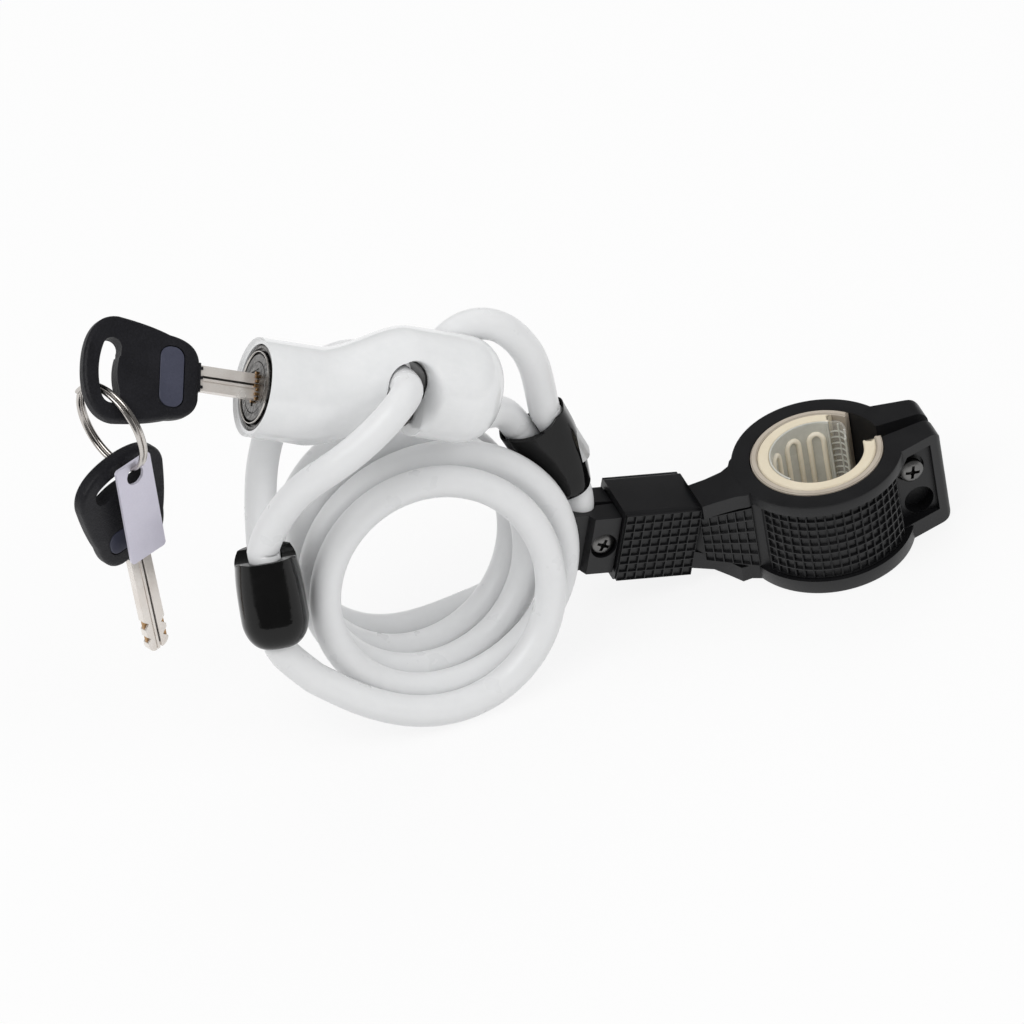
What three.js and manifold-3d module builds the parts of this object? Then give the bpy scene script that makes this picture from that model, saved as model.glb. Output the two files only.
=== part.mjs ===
// Self-coiling cable lock for a bicycle: key head, coiled cable with two eye loops, two keys on a
// split ring and a clamp that carries the lock on a frame tube. Millimetres, +Z up.
import * as THREE from 'three';
import { mergeVertices } from 'three/addons/utils/BufferGeometryUtils.js';
import Module from 'manifold-3d';

const wasm = await Module();
wasm.setup();

const V = (x, y, z) => new THREE.Vector3(x, y, z);
const rad = THREE.MathUtils.degToRad;
const Z_AXIS = V(0, 0, 1);

// ---- Driving dimensions --------------------------------------------------------------------
const SEAT_GAP = 0.3;          // clearance between pieces that touch
const CUT_SPARE = 1;           // how far a cutting tool runs past the face that it opens

const CABLE_D = 8;             // sheathed steel cable
const CABLE_R = CABLE_D / 2;
const FOOT_FLAT = CABLE_D / 10;
const COIL = {
  radius: 30,                  // middle of the cable, in the turn's plane
  turns: 4,
  pitch: 9,                    // horizontal advance of a turn, square to the turns' foot line
  yaw: 15,                     // degrees that the coil's axis turns from straight away
  lean: 15.7,                  // degrees that each turn leans back
  footX: -20.3,
  footY: -70.5,
  slide: 7.6,                  // how far the right side of the second turn has slid out
  slideTurn: 1.3,
  slideRise: 0.35,
  slideFall: 0.6,
  leadForward: 1.2,            // how far the left lead stands before the first turn
  stepsPerTurn: 24,
  sides: 6,
};
const LOOP_SIDES = 10;

const LEFT_SLEEVE = {
  width: 17, depth: 19, length: 23.6, bottomRound: 6, corner: 2.6, hornDrop: 1.8, leanBack: 22,
  foot: V(-62.5, -79.4, 34),
};
const RIGHT_SLEEVE = {
  mouthWall: 0.5, mouthDepth: 11.2, footWidth: 10.8,
  mouth: V(8.6, -36, 56.8),
  foot: V(16.4, -37.4, 34.4),
};
const FERRULE = { length: 8, wall: 0.2, seat: 8 };
const STRAND_SPACING = 8.4;    // between the two strands of an eye loop inside a sleeve

const HEAD = {
  face: V(-58.3, -59.8, 100),
  axis: V(0.880, 0.1175, -0.4605),
  up: V(0.369, 0.442, 0.818),
  length: 63.5,
  barrelR: 12.5,
  waistR: 12.0,
  blockR: 13.6,
  blockRise: 7.5,
  rimWall: 1.7,
};
const CORE = { length: 9.8, recess: 0.6, plugR: 6.4, lipR: 8.4, lipRise: 0.5 };
const PLUG = { length: 9.8, keywayH: 7.1, keywayW: 2.6, running: 0.3 };
const WAFER = { count: 5, thick: 0.7, height: 9.6, width: 4.8, pitch: 1.7, first: 1.8 };
const CAM = { outerR: 7.7, innerR: 5.7, start: CORE.recess + CORE.length + SEAT_GAP, end: 29.9, web: 1.4 };
const BOLT = { r: 4, pistonR: 5.4, pistonLength: 4.9, rear: 24.9, tip: 42.4, keyBoreR: 3.7, travel: 12.4 };
const BOLT_PIN = { r: 1.2, inner: 4.3, outer: 9.2, fromRear: 2.6, turn: 90 };
const NOTCH = { at: 35.4, width: 10.4, centreRise: 7.7 };
const RETAINER = { r: 1.5, length: 6, at: 6 };

const KEY = {
  bladeStart: -15, bladeEnd: 17, bladeH: 6.5, bladeT: 2, grooveW: 1.8, grooveD: 0.5,
  bowLength: 31, bowHalf: 13, bowT: 4, neckHalf: 6, shoulderHalf: 10.2,
  slotW: 5.4, slotReach: 7.4, slotAt: -41.2, inlayL: 15, inlayW: 6, inlayAt: -23, inlayD: 0.7,
  tang: 9, bittingCuts: 4, roll: -27,
};
const RING = { r: 12, wire: 1.0, seat: 1.2, pitch: 1.45, turns: 2, stepsPerTurn: 24, sides: 6 };
const TAG = { width: 10, length: 28, thick: 0.8, holeR: 2.6, corner: 1.2 };

const CLAMP = {
  x: 77.8, y: -32, heading: 15, height: 28, flangeR: 21.8, flangeH: 3, bandR: 20.3, boreR: 17.1,
};
const EAR = {
  root: 14, rootHalf: 11.4, reach: 30.5, tipHalf: 8, corner: 1.4, slotRoot: 5.2, slotTip: 2.6,
  pocketStart: 16.5, pocketEnd: 27.3, pocketLow: 4.3, pocketTop: 25.5, pocketFloor: 7,
  screwX: 21.3, screwZ: 19.5, spareZ: 9.3, spareR: 2.4, spareDepth: 3.4, screwLength: 15.6,
};
const NUT = { side: 6, thick: 3, play: 0.6 };
const LINER = { outerT: 1.2, innerT: 2.5, outerFrom: 44, outerTo: 356, innerFrom: 60, innerTo: 354 };
const FLOOR = { side: 400, depth: 20 };
const SCREW = { headR: 3.1, headH: 2.2, shankR: 1.6, crossW: 0.9, crossL: 3.6, crossD: 1.1 };
const COLLAR = { length: 20.9, depth: 16.5, height: 20.2, wall: 1.9, centre: V(32.7, -35.5, 16.6), pitch: 17 };
const CLIP = { thick: 7.4, thinHalf: 5, height: 16.4, depth: 14.2, slotLeft: 2.4, slotRight: 0.9, screwRise: 0, screwIn: 3.9 };

// ---- Solids --------------------------------------------------------------------------------
function solid(geometry) {
  const g = geometry.clone();
  g.deleteAttribute('normal');
  g.deleteAttribute('uv');
  const merged = mergeVertices(g, 1e-4);
  const vertProperties = new Float32Array(merged.attributes.position.array);
  const triVerts = new Uint32Array(merged.index.array);
  return new wasm.Manifold(new wasm.Mesh({ numProp: 3, vertProperties, triVerts }));
}

function geometryOf(manifold) {
  const mesh = manifold.getMesh();
  const g = new THREE.BufferGeometry();
  g.setAttribute('position', new THREE.BufferAttribute(new Float32Array(mesh.vertProperties), 3));
  g.setIndex(new THREE.BufferAttribute(new Uint32Array(mesh.triVerts), 1));
  return g;
}

function cut(body, ...tools) {
  const result = tools.reduce((rest, tool) => rest.subtract(solid(tool)), solid(body));
  return geometryOf(result);
}

function join(...bodies) {
  const result = bodies.map(solid).reduce((all, next) => all.add(next));
  return geometryOf(result);
}

function at(geometry, x, y, z) {
  return geometry.clone().translate(x, y, z);
}

function box(lx, ly, lz) {
  return new THREE.BoxGeometry(lx, ly, lz);
}

// A cylinder along X from x0 to x1.
function rodX(r, x0, x1, sides = 24) {
  const g = new THREE.CylinderGeometry(r, r, x1 - x0, sides);
  return g.rotateZ(-Math.PI / 2).translate((x0 + x1) / 2, 0, 0);
}

// A cylinder along Y from y0 to y1.
function rodY(r, y0, y1, sides = 24) {
  return new THREE.CylinderGeometry(r, r, y1 - y0, sides).translate(0, (y0 + y1) / 2, 0);
}

// A cylinder along Z from z0 to z1.
function rodZ(r, z0, z1, sides = 24) {
  const g = new THREE.CylinderGeometry(r, r, z1 - z0, sides);
  return g.rotateX(Math.PI / 2).translate(0, 0, (z0 + z1) / 2);
}

// A flat outline in the XY plane, pulled up from z0 to z1.
function slab(shape, z0, z1, curveSegments = 6) {
  const options = { depth: z1 - z0, bevelEnabled: false, curveSegments };
  return new THREE.ExtrudeGeometry(shape, options).translate(0, 0, z0);
}

function roundedRectangle(w, h, r) {
  const s = new THREE.Shape();
  s.moveTo(-w / 2 + r, -h / 2);
  s.lineTo(w / 2 - r, -h / 2);
  s.absarc(w / 2 - r, -h / 2 + r, r, -Math.PI / 2, 0);
  s.lineTo(w / 2, h / 2 - r);
  s.absarc(w / 2 - r, h / 2 - r, r, 0, Math.PI / 2);
  s.lineTo(-w / 2 + r, h / 2);
  s.absarc(-w / 2 + r, h / 2 - r, r, Math.PI / 2, Math.PI);
  s.lineTo(-w / 2, -h / 2 + r);
  s.absarc(-w / 2 + r, -h / 2 + r, r, Math.PI, Math.PI * 1.5);
  return s;
}

// A closed body through a row of rings with equal point counts, each ring given around +axis.
function loft(rings) {
  const count = rings[0].length;
  const points = rings.flat();
  const index = [];
  for (let k = 0; k + 1 < rings.length; k += 1) {
    for (let i = 0; i < count; i += 1) {
      const j = (i + 1) % count;
      const a = k * count + i;
      const b = k * count + j;
      index.push(a, b, b + count);
      index.push(a, b + count, a + count);
    }
  }
  const first = points.length;
  const centre = (ring) => ring.reduce((sum, p) => sum.add(p), V(0, 0, 0)).divideScalar(count);
  points.push(centre(rings[0]), centre(rings[rings.length - 1]));
  const last = (rings.length - 1) * count;
  for (let i = 0; i < count; i += 1) {
    const j = (i + 1) % count;
    index.push(first, j, i);
    index.push(first + 1, last + i, last + j);
  }
  const g = new THREE.BufferGeometry().setFromPoints(points);
  g.setIndex(index);
  return g;
}

// A round tube along a curve, with flat ends square to it.
function tube(curve, r, steps, sides) {
  const section = new THREE.Shape();
  for (let i = 0; i < sides; i += 1) {
    const angle = (2 * Math.PI * (i + 0.5)) / sides;
    const x = r * Math.cos(angle);
    const y = r * Math.sin(angle);
    if (i === 0) section.moveTo(x, y);
    else section.lineTo(x, y);
  }
  const options = { steps, bevelEnabled: false, extrudePath: curve };
  return new THREE.ExtrudeGeometry(section, options);
}

function frameMatrix(origin, xDir, zHint) {
  const x = xDir.clone().normalize();
  const y = zHint.clone().cross(x).normalize();
  const z = x.clone().cross(y);
  return new THREE.Matrix4().makeBasis(x, y, z).setPosition(origin);
}

function frameGroup(matrix) {
  const group = new THREE.Group();
  matrix.decompose(group.position, group.quaternion, group.scale);
  return group;
}

// ---- Finishes ------------------------------------------------------------------------------
const finish = (color, roughness, metalness = 0) => {
  return new THREE.MeshStandardMaterial({ color, roughness, metalness });
};
const MATERIAL = {
  cable: finish(0xe9eaea, 0.32),
  whiteShell: finish(0xf0f1f1, 0.22),
  sleeve: finish(0x0a0a0c, 0.12),
  steel: finish(0x4a4845, 0.35, 0.9),
  brass: finish(0xb08a4a, 0.4, 0.9),
  zinc: finish(0xa7a8aa, 0.45, 0.8),
  nickel: finish(0xd8cfc4, 0.25, 0.9),
  black: finish(0x232326, 0.5),
  inlay: finish(0x3e4054, 0.5),
  tag: finish(0xd7d4e1, 0.35, 0.2),
  cream: finish(0xe1d2b4, 0.45),
  clear: finish(0xe6ecec, 0.2),
};

const model = new THREE.Group();

function add(parent, name, geometry, material) {
  const mesh = new THREE.Mesh(geometry, material);
  mesh.name = name;
  parent.add(mesh);
  return mesh;
}

// ---- Cable coil ----------------------------------------------------------------------------
const yaw = rad(COIL.yaw);
const lean = rad(COIL.lean);
const turnRight = V(Math.cos(yaw), Math.sin(yaw), 0);
const turnBack = V(-Math.sin(yaw), Math.cos(yaw), 0);
const turnUp = turnBack.clone().multiplyScalar(Math.sin(lean)).addScaledVector(Z_AXIS, Math.cos(lean));
const turnCentreZ = COIL.radius * turnUp.z + CABLE_R - FOOT_FLAT;

// How far the right-hand side of a turn stands out, at a turn count t.
function slideOut(t) {
  const spread = t < COIL.slideTurn ? COIL.slideRise : COIL.slideFall;
  const envelope = Math.exp(-(((t - COIL.slideTurn) / spread) ** 2));
  return (COIL.slide * envelope * (1 + Math.sin(2 * Math.PI * t))) / 2;
}

function coilPoint(t) {
  const angle = 2 * Math.PI * t;
  return V(COIL.footX, COIL.footY, turnCentreZ)
    .addScaledVector(turnBack, COIL.pitch * Math.max(t, 0))
    .addScaledVector(turnRight, slideOut(t) + COIL.radius * Math.sin(angle))
    .addScaledVector(turnUp, -COIL.radius * Math.cos(angle));
}

// Local frame of the left sleeve: Z up its length, Y from the front strand to the rear one.
const leftLean = rad(LEFT_SLEEVE.leanBack);
const leftUp = V(0, Math.sin(leftLean), Math.cos(leftLean));
const leftMatrix = new THREE.Matrix4().makeRotationX(-leftLean).setPosition(LEFT_SLEEVE.foot);

// The quarter turn that comes down out of the left sleeve, wider than the coil.
function leftLead() {
  const mouth = LEFT_SLEEVE.foot;
  const quarter = coilPoint(-0.25);
  const flare = V(mouth.x - quarter.x, mouth.y - quarter.y, 0);
  const points = [CABLE_D, CABLE_D / 2, -1].map((rise) => mouth.clone().addScaledVector(leftUp, rise));
  const steps = COIL.stepsPerTurn / 4;
  for (let i = 1; i < steps; i += 1) {
    const share = 1 - i / steps;
    const forward = COIL.leadForward * Math.sin(Math.PI * Math.min(1, share * 1.2));
    const point = coilPoint(-0.25 * share).addScaledVector(flare, share * share);
    points.push(point.addScaledVector(turnBack, -forward));
  }
  return points;
}

// The last quarter turn, which opens out, rises through the clip and ends in the right sleeve.
const sleeveDown = RIGHT_SLEEVE.foot.clone().sub(RIGHT_SLEEVE.mouth).normalize();
const CLIP_POINT = V(13.7, -39.9, 22.2);

function rightLead() {
  const foot = RIGHT_SLEEVE.foot;
  const start = coilPoint(COIL.turns);
  return [
    start.clone().addScaledVector(turnRight, 8).add(V(0, 0.9, 0.3)),
    start.clone().addScaledVector(turnRight, 17).add(V(0, 1, 1)),
    start.clone().addScaledVector(turnRight, 26).add(V(0, 0.2, 3)),
    V(1.6, -38.4, 6.6),
    V(7.2, -38.9, 10.5),
    V(11.2, -39.6, 15.8),
    CLIP_POINT,
    V(16.4, -39.2, 28.6),
    foot.clone().addScaledVector(sleeveDown, 1),
    foot.clone().addScaledVector(sleeveDown, -3),
    foot.clone().addScaledVector(sleeveDown, -CABLE_D),
  ];
}

function coilCurve() {
  const points = leftLead();
  const count = COIL.turns * COIL.stepsPerTurn;
  for (let i = 0; i <= count; i += 1) {
    points.push(coilPoint(i / COIL.stepsPerTurn));
  }
  points.push(...rightLead());
  return new THREE.CatmullRomCurve3(points, false, 'centripetal');
}

// The least room between the surfaces of two passes of the coil, measured on points of its middle.
function leastGap(curve) {
  const points = curve.getSpacedPoints(900);
  const near = Math.ceil((Math.PI * COIL.radius) / (curve.getLength() / 900));
  let least = Infinity;
  for (let i = 0; i < points.length; i += 1) {
    for (let j = i + near; j < points.length; j += 1) {
      least = Math.min(least, points[i].distanceTo(points[j]));
    }
  }
  return least - CABLE_D;
}

function cableCoil(curve) {
  const steps = Math.round((curve.getLength() / (2 * Math.PI * COIL.radius)) * COIL.stepsPerTurn);
  const body = tube(curve, CABLE_R, steps, COIL.sides);
  const floor = at(box(FLOOR.side, FLOOR.side, FLOOR.depth), 0, 0, -FLOOR.depth / 2);
  return cut(body, floor);
}

const coil = coilCurve();
console.log('least gap of the coil to itself, mm:', leastGap(coil).toFixed(2));
console.log('cable between the sleeves, mm:', coil.getLength().toFixed(0));
add(model, 'cable_coil', cableCoil(coil), MATERIAL.cable);

// ---- Eye loops -----------------------------------------------------------------------------
const halfSpacing = STRAND_SPACING / 2;
const strandSeat = FERRULE.seat + FERRULE.length + SEAT_GAP;
const leftStrand = (side, rise) => V(0, side * halfSpacing, strandSeat + rise).applyMatrix4(leftMatrix);
const LEFT_LOOP = [
  leftStrand(-1, 0),
  leftStrand(-1, 6),
  leftStrand(-1, 11),
  V(-57.1, -73.6, 69.5),
  V(-50.4, -76.6, 79.6),
  V(-42.2, -78.8, 85.2),
  V(-34.4, -78, 90),
  V(-27.6, -76.6, 94.6),
  V(-21.8, -72.6, 98.2),
  V(-19.9, -66.8, 96.7),
  V(-22, -58.4, 93),
  V(-24.8, -48.4, 89.2),
  V(-28.2, -38, 84.8),
  V(-32.4, -30.4, 82.6),
  V(-39.6, -28.2, 79.8),
  V(-47.6, -31, 76.5),
  V(-54.2, -37, 72.5),
  V(-58.8, -46, 68),
  V(-61, -54.6, 63.6),
  leftStrand(1, 11),
  leftStrand(1, 6),
  leftStrand(1, 0),
];
const rightUp = sleeveDown.clone().negate();
const rightAcross = V(0, 1, 0).cross(rightUp).normalize();
const rightSeat = RIGHT_SLEEVE.foot.clone().addScaledVector(sleeveDown, -strandSeat);
const rightStrand = (side, rise) => {
  return rightSeat.clone().addScaledVector(rightAcross, side * halfSpacing).addScaledVector(sleeveDown, -rise);
};
const RIGHT_LOOP = [
  rightStrand(1, 0),
  rightStrand(1, 5),
  rightStrand(1, 10),
  V(12.2, -36.6, 74.4),
  V(9, -36.9, 82.4),
  V(5.2, -37.8, 88.8),
  V(-0.6, -37.6, 91.4),
  V(-7.6, -39.4, 90.8),
  V(-13.2, -43.2, 87),
  V(-15.9, -46.6, 81.4),
  V(-15.4, -48.8, 75.4),
  V(-11.8, -49, 71),
  V(-6.6, -47.2, 69.4),
  V(-2.2, -43.6, 67.2),
  V(1.4, -39.2, 63.8),
  rightStrand(-1, 10),
  rightStrand(-1, 3),
  rightStrand(-1, 0),
];

function loopCurve(points) {
  return new THREE.CatmullRomCurve3(points, false, 'centripetal');
}

function eyeLoop(points) {
  const curve = loopCurve(points);
  const steps = Math.round(curve.getLength() / (0.55 * CABLE_D));
  return tube(curve, CABLE_R, steps, LOOP_SIDES);
}

console.log('left eye loop, mm:', loopCurve(LEFT_LOOP).getLength().toFixed(0));
console.log('right eye loop, mm:', loopCurve(RIGHT_LOOP).getLength().toFixed(0));
add(model, 'eye_loop_left', eyeLoop(LEFT_LOOP), MATERIAL.cable);
add(model, 'eye_loop_right', eyeLoop(RIGHT_LOOP), MATERIAL.cable);

// ---- Sleeves and ferrules ------------------------------------------------------------------
const SLEEVE_SIDES = 28;

// A ring of points like a rounded rectangle, square to Z, at height z.
function ovalRing(width, depth, z, power, shift = V(0, 0, 0)) {
  const ring = [];
  for (let i = 0; i < SLEEVE_SIDES; i += 1) {
    const angle = (2 * Math.PI * i) / SLEEVE_SIDES;
    const c = Math.cos(angle);
    const s = Math.sin(angle);
    const x = (width / 2) * Math.sign(c) * Math.abs(c) ** (2 / power);
    const y = (depth / 2) * Math.sign(s) * Math.abs(s) ** (2 / power);
    ring.push(V(x, y, z).add(shift));
  }
  return ring;
}

// Two side-by-side strands share this pocket.
function strandPocket(width, depth, z0, z1, power = 3) {
  return loft([ovalRing(width, depth, z0, power), ovalRing(width, depth, z1, power)]);
}

function leftSleeve() {
  const s = LEFT_SLEEVE;
  const rings = [];
  const steps = 5;
  for (let i = 0; i <= steps; i += 1) {
    const angle = (i / steps) * (Math.PI / 2);
    const inset = s.bottomRound * (1 - Math.sin(angle)) * 0.75;
    rings.push(ovalRing(s.width - 2 * inset, s.depth - 2 * inset, s.bottomRound * (1 - Math.cos(angle)), s.corner));
  }
  rings.push(ovalRing(s.width * 0.98, s.depth, s.length * 0.7, s.corner));
  rings.push(ovalRing(s.width * 0.9, s.depth, s.length, s.corner));
  const pocketW = CABLE_D + 2 * SEAT_GAP;
  const pocketD = CABLE_D + STRAND_SPACING + 2 * SEAT_GAP;
  const seat = FERRULE.seat;
  const scallop = rodX(s.depth * 0.62, -s.width, s.width, 32);
  return cut(
    loft(rings),
    strandPocket(pocketW, pocketD, seat - SEAT_GAP, s.length + CUT_SPARE, 4),
    rodZ(CABLE_R + SEAT_GAP, -CUT_SPARE, seat, 20),
    at(scallop, 0, 0, s.length - s.hornDrop + s.depth * 0.62),
  );
}

function ferrule() {
  const width = CABLE_D + 2 * FERRULE.wall;
  const depth = CABLE_D + STRAND_SPACING + 2 * FERRULE.wall;
  return strandPocket(width, depth, FERRULE.seat, FERRULE.seat + FERRULE.length, 4);
}

const leftFrame = frameGroup(leftMatrix);
model.add(leftFrame);
add(leftFrame, 'sleeve_left', leftSleeve(), MATERIAL.sleeve);
add(leftFrame, 'crimp_ferrule_left', ferrule(), MATERIAL.zinc);

// Local frame of the right sleeve: Z up its length, X along its wide side.
const rightFrame = frameGroup(frameMatrix(RIGHT_SLEEVE.foot, rightAcross, rightUp));
model.add(rightFrame);

function rightSleeve() {
  const s = RIGHT_SLEEVE;
  const length = s.foot.distanceTo(s.mouth);
  const pocketW = CABLE_D + STRAND_SPACING + 2 * SEAT_GAP;
  const mouthWidth = pocketW + 2 * s.mouthWall;
  const footDepth = s.mouthDepth;
  const rings = [
    ovalRing(s.footWidth * 0.8, footDepth * 0.86, 0, 2.4),
    ovalRing(s.footWidth, footDepth, 1.6, 2.4),
    ovalRing(s.footWidth + 3.4, footDepth + 0.4, 7, 2.8),
    ovalRing(mouthWidth - 2.2, footDepth + 0.6, 12, 3),
    ovalRing(mouthWidth, footDepth + 0.6, length, 3),
  ];
  const pocketD = CABLE_D + 2 * SEAT_GAP;
  const scallop = rodY(mouthWidth * 0.62, -s.mouthDepth, s.mouthDepth, 32);
  return cut(
    loft(rings),
    strandPocket(pocketW, pocketD, FERRULE.seat - SEAT_GAP, length + CUT_SPARE, 4),
    rodZ(CABLE_R + SEAT_GAP, -CUT_SPARE, FERRULE.seat, 20),
    at(scallop, 0, 0, length - 2 + mouthWidth * 0.62),
  );
}

add(rightFrame, 'sleeve_right', rightSleeve(), MATERIAL.sleeve);
add(rightFrame, 'crimp_ferrule_right', ferrule().rotateZ(Math.PI / 2), MATERIAL.zinc);

// ---- Lock head -----------------------------------------------------------------------------
// Local frame: X from the key face along the barrel, Y to the back, Z up.
const headMatrix = frameMatrix(HEAD.face, HEAD.axis, HEAD.up);
const headInverse = headMatrix.clone().invert();
const headFrame = frameGroup(headMatrix);
model.add(headFrame);
// The plug and its key stand turned about the barrel.
const keyMatrix = headMatrix.clone().multiply(new THREE.Matrix4().makeRotationX(rad(KEY.roll)));
const keyFrame = frameGroup(keyMatrix);
model.add(keyFrame);
const HEAD_SIDES = 36;

function headRing(x, r, rise) {
  const ring = [];
  for (let i = 0; i < HEAD_SIDES; i += 1) {
    const angle = (2 * Math.PI * i) / HEAD_SIDES;
    ring.push(V(x, r * Math.cos(angle), rise + r * Math.sin(angle)));
  }
  return ring;
}

function headOuter() {
  const rings = [headRing(0, HEAD.barrelR - 0.5, 0), headRing(0.5, HEAD.barrelR, 0)];
  const blendStart = 15;
  const blendEnd = 38;
  const domeStart = HEAD.length - 9.5;
  const steps = 9;
  for (let i = 0; i <= steps; i += 1) {
    const share = THREE.MathUtils.smoothstep(i / steps, 0, 1);
    const waist = Math.sin((Math.PI * i) / steps) * (HEAD.barrelR - HEAD.waistR);
    const r = THREE.MathUtils.lerp(HEAD.barrelR, HEAD.blockR, share) - waist;
    const x = THREE.MathUtils.lerp(blendStart, blendEnd, i / steps);
    rings.push(headRing(x, r, share * HEAD.blockRise));
  }
  rings.push(headRing(domeStart, HEAD.blockR, HEAD.blockRise));
  const domeSteps = 5;
  const domeDepth = HEAD.length - domeStart;
  for (let i = 1; i <= domeSteps; i += 1) {
    const angle = (i / domeSteps) * rad(72);
    const x = domeStart + domeDepth * Math.sin(angle);
    rings.push(headRing(x, HEAD.blockR * (0.35 + 0.65 * Math.cos(angle)), HEAD.blockRise));
  }
  return loft(rings);
}

function inHead(points) {
  return points.map((p) => p.clone().applyMatrix4(headInverse));
}

// The curved hole for the right eye loop follows the cable.
function eyeHole() {
  const curve = loopCurve(inHead(RIGHT_LOOP.slice(5, 15)));
  return tube(curve, CABLE_R + 2 * SEAT_GAP, 22, 14);
}

function headShell() {
  const coreR = HEAD.barrelR - HEAD.rimWall;
  const notchR = NOTCH.width / 2;
  const depth = 4 * HEAD.blockR;
  return cut(
    headOuter(),
    rodX(coreR + SEAT_GAP / 2, -CUT_SPARE, CAM.start, 32),
    rodX(CAM.outerR + PLUG.running, CAM.start - CUT_SPARE, CAM.end + PLUG.running, 28),
    rodX(BOLT.r + PLUG.running, CAM.end - CUT_SPARE, BOLT.tip + PLUG.running, 20),
    at(box(NOTCH.width, depth, 40), NOTCH.at, 0, NOTCH.centreRise - 20),
    at(rodY(notchR, -depth / 2, depth / 2, 28), NOTCH.at, 0, NOTCH.centreRise),
    eyeHole(),
    pinGroove(),
    at(rodY(RETAINER.r + SEAT_GAP / 2, 0, 2 * HEAD.barrelR, 16).rotateX(-Math.PI / 2), RETAINER.at, 0, 0),
  );
}

// The straight groove that keeps the bolt's pin from turning.
function pinGroove() {
  const x0 = BOLT.rear + BOLT_PIN.fromRear - BOLT.travel - BOLT_PIN.r - PLUG.running;
  const x1 = BOLT.rear + BOLT_PIN.fromRear + BOLT_PIN.r + PLUG.running;
  const top = BOLT_PIN.outer + PLUG.running;
  const groove = box(x1 - x0, top, 2 * (BOLT_PIN.r + PLUG.running));
  return at(groove, (x0 + x1) / 2, top / 2, 0);
}

function coreBarrel() {
  const outerR = HEAD.barrelR - HEAD.rimWall;
  const body = rodX(outerR, CORE.recess, CORE.recess + CORE.length, 32);
  const lip = cut(
    rodX(CORE.lipR, CORE.recess - CORE.lipRise, CORE.recess + CUT_SPARE, 32),
    rodX(CORE.lipR - 1, -CUT_SPARE * 2, CORE.recess + 2, 32),
  );
  const pinHole = rodY(RETAINER.r + SEAT_GAP / 2, outerR - 3, 2 * outerR, 16).rotateX(-Math.PI / 2);
  return cut(
    join(body, lip),
    rodX(CORE.plugR + PLUG.running, -CUT_SPARE, CORE.length + 2 * CUT_SPARE, 32),
    at(pinHole, RETAINER.at, 0, 0),
  );
}

function waferX(i) {
  return CORE.recess + WAFER.first + i * WAFER.pitch;
}

function cylinderPlug() {
  const length = PLUG.length;
  const keyway = at(box(3 * length, PLUG.keywayW, PLUG.keywayH), length / 2, 0, 0);
  const slots = [];
  for (let i = 0; i < WAFER.count; i += 1) {
    const slot = box(WAFER.thick + 2 * SEAT_GAP, WAFER.width + 2 * SEAT_GAP, WAFER.height + 2 * SEAT_GAP);
    slots.push(at(slot, waferX(i), 0, 0));
  }
  return cut(rodX(CORE.plugR, CORE.recess, CORE.recess + length, 32), keyway, ...slots);
}

function wafer() {
  const plate = box(WAFER.thick, WAFER.width, WAFER.height);
  const window = box(3 * WAFER.thick, PLUG.keywayW, PLUG.keywayH - 0.2);
  return cut(plate, window);
}

// The bolt's pin rides in this slot: a quarter turn of the cam draws the bolt its whole travel.
function camSlot() {
  const steps = 12;
  const cuts = [];
  for (let i = -1; i <= steps + 1; i += 1) {
    const share = i / steps;
    const x = BOLT.rear + BOLT_PIN.fromRear - share * BOLT.travel;
    const pin = rodY(BOLT_PIN.r + PLUG.running, 0, 2 * CAM.outerR, 10);
    cuts.push(solid(at(pin, x, 0, 0).rotateX(-share * rad(BOLT_PIN.turn))));
  }
  return geometryOf(cuts.reduce((all, next) => all.add(next)));
}

function driveCam() {
  const x0 = CAM.start;
  const wall = rodX(CAM.outerR, x0, CAM.end, 28);
  return cut(
    wall,
    rodX(CAM.innerR, x0 + CAM.web, CAM.end + CUT_SPARE, 28),
    rodX(BOLT.keyBoreR, x0 - CUT_SPARE, x0 + 2 * CAM.web, 20),
    camSlot(),
  );
}

function lockBolt() {
  const pistonEnd = BOLT.rear + BOLT.pistonLength;
  const nose = 1;
  const profile = [
    V(0, BOLT.rear, 0), V(BOLT.pistonR, BOLT.rear, 0), V(BOLT.pistonR, pistonEnd, 0),
    V(BOLT.r, pistonEnd, 0), V(BOLT.r, BOLT.tip - nose, 0), V(BOLT.r - nose, BOLT.tip, 0),
    V(0, BOLT.tip, 0),
  ].map((p) => new THREE.Vector2(p.x, p.y));
  const body = new THREE.LatheGeometry(profile, 24).rotateZ(-Math.PI / 2);
  const pinHole = at(rodY(BOLT_PIN.r + 0.05, 0, 2 * BOLT.pistonR, 14), BOLT.rear + BOLT_PIN.fromRear, 0, 0);
  const keyBore = rodX(BOLT.keyBoreR, BOLT.rear - CUT_SPARE, pistonEnd - 0.2, 20);
  return cut(body, keyBore, pinHole);
}

function boltPin() {
  const pin = rodY(BOLT_PIN.r, BOLT_PIN.inner, BOLT_PIN.outer, 12);
  return at(pin, BOLT.rear + BOLT_PIN.fromRear, 0, 0);
}

function retainer() {
  const top = HEAD.barrelR - 0.8;
  return at(rodY(RETAINER.r, top - RETAINER.length + 2.6, top, 14).rotateX(-Math.PI / 2), RETAINER.at, 0, 0);
}

add(headFrame, 'head_shell', headShell(), MATERIAL.whiteShell);
add(headFrame, 'core_barrel', coreBarrel(), MATERIAL.steel);
add(headFrame, 'core_retainer_pin', retainer(), MATERIAL.steel);
add(keyFrame, 'cylinder_plug', cylinderPlug(), MATERIAL.steel);
for (let i = 0; i < WAFER.count; i += 1) {
  const mesh = add(keyFrame, `wafer_${i + 1}`, wafer(), MATERIAL.brass);
  mesh.position.x = waferX(i);
}
add(headFrame, 'drive_cam', driveCam(), MATERIAL.zinc);
add(headFrame, 'lock_bolt', lockBolt(), MATERIAL.steel);
add(headFrame, 'bolt_pin', boltPin(), MATERIAL.steel);

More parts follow.
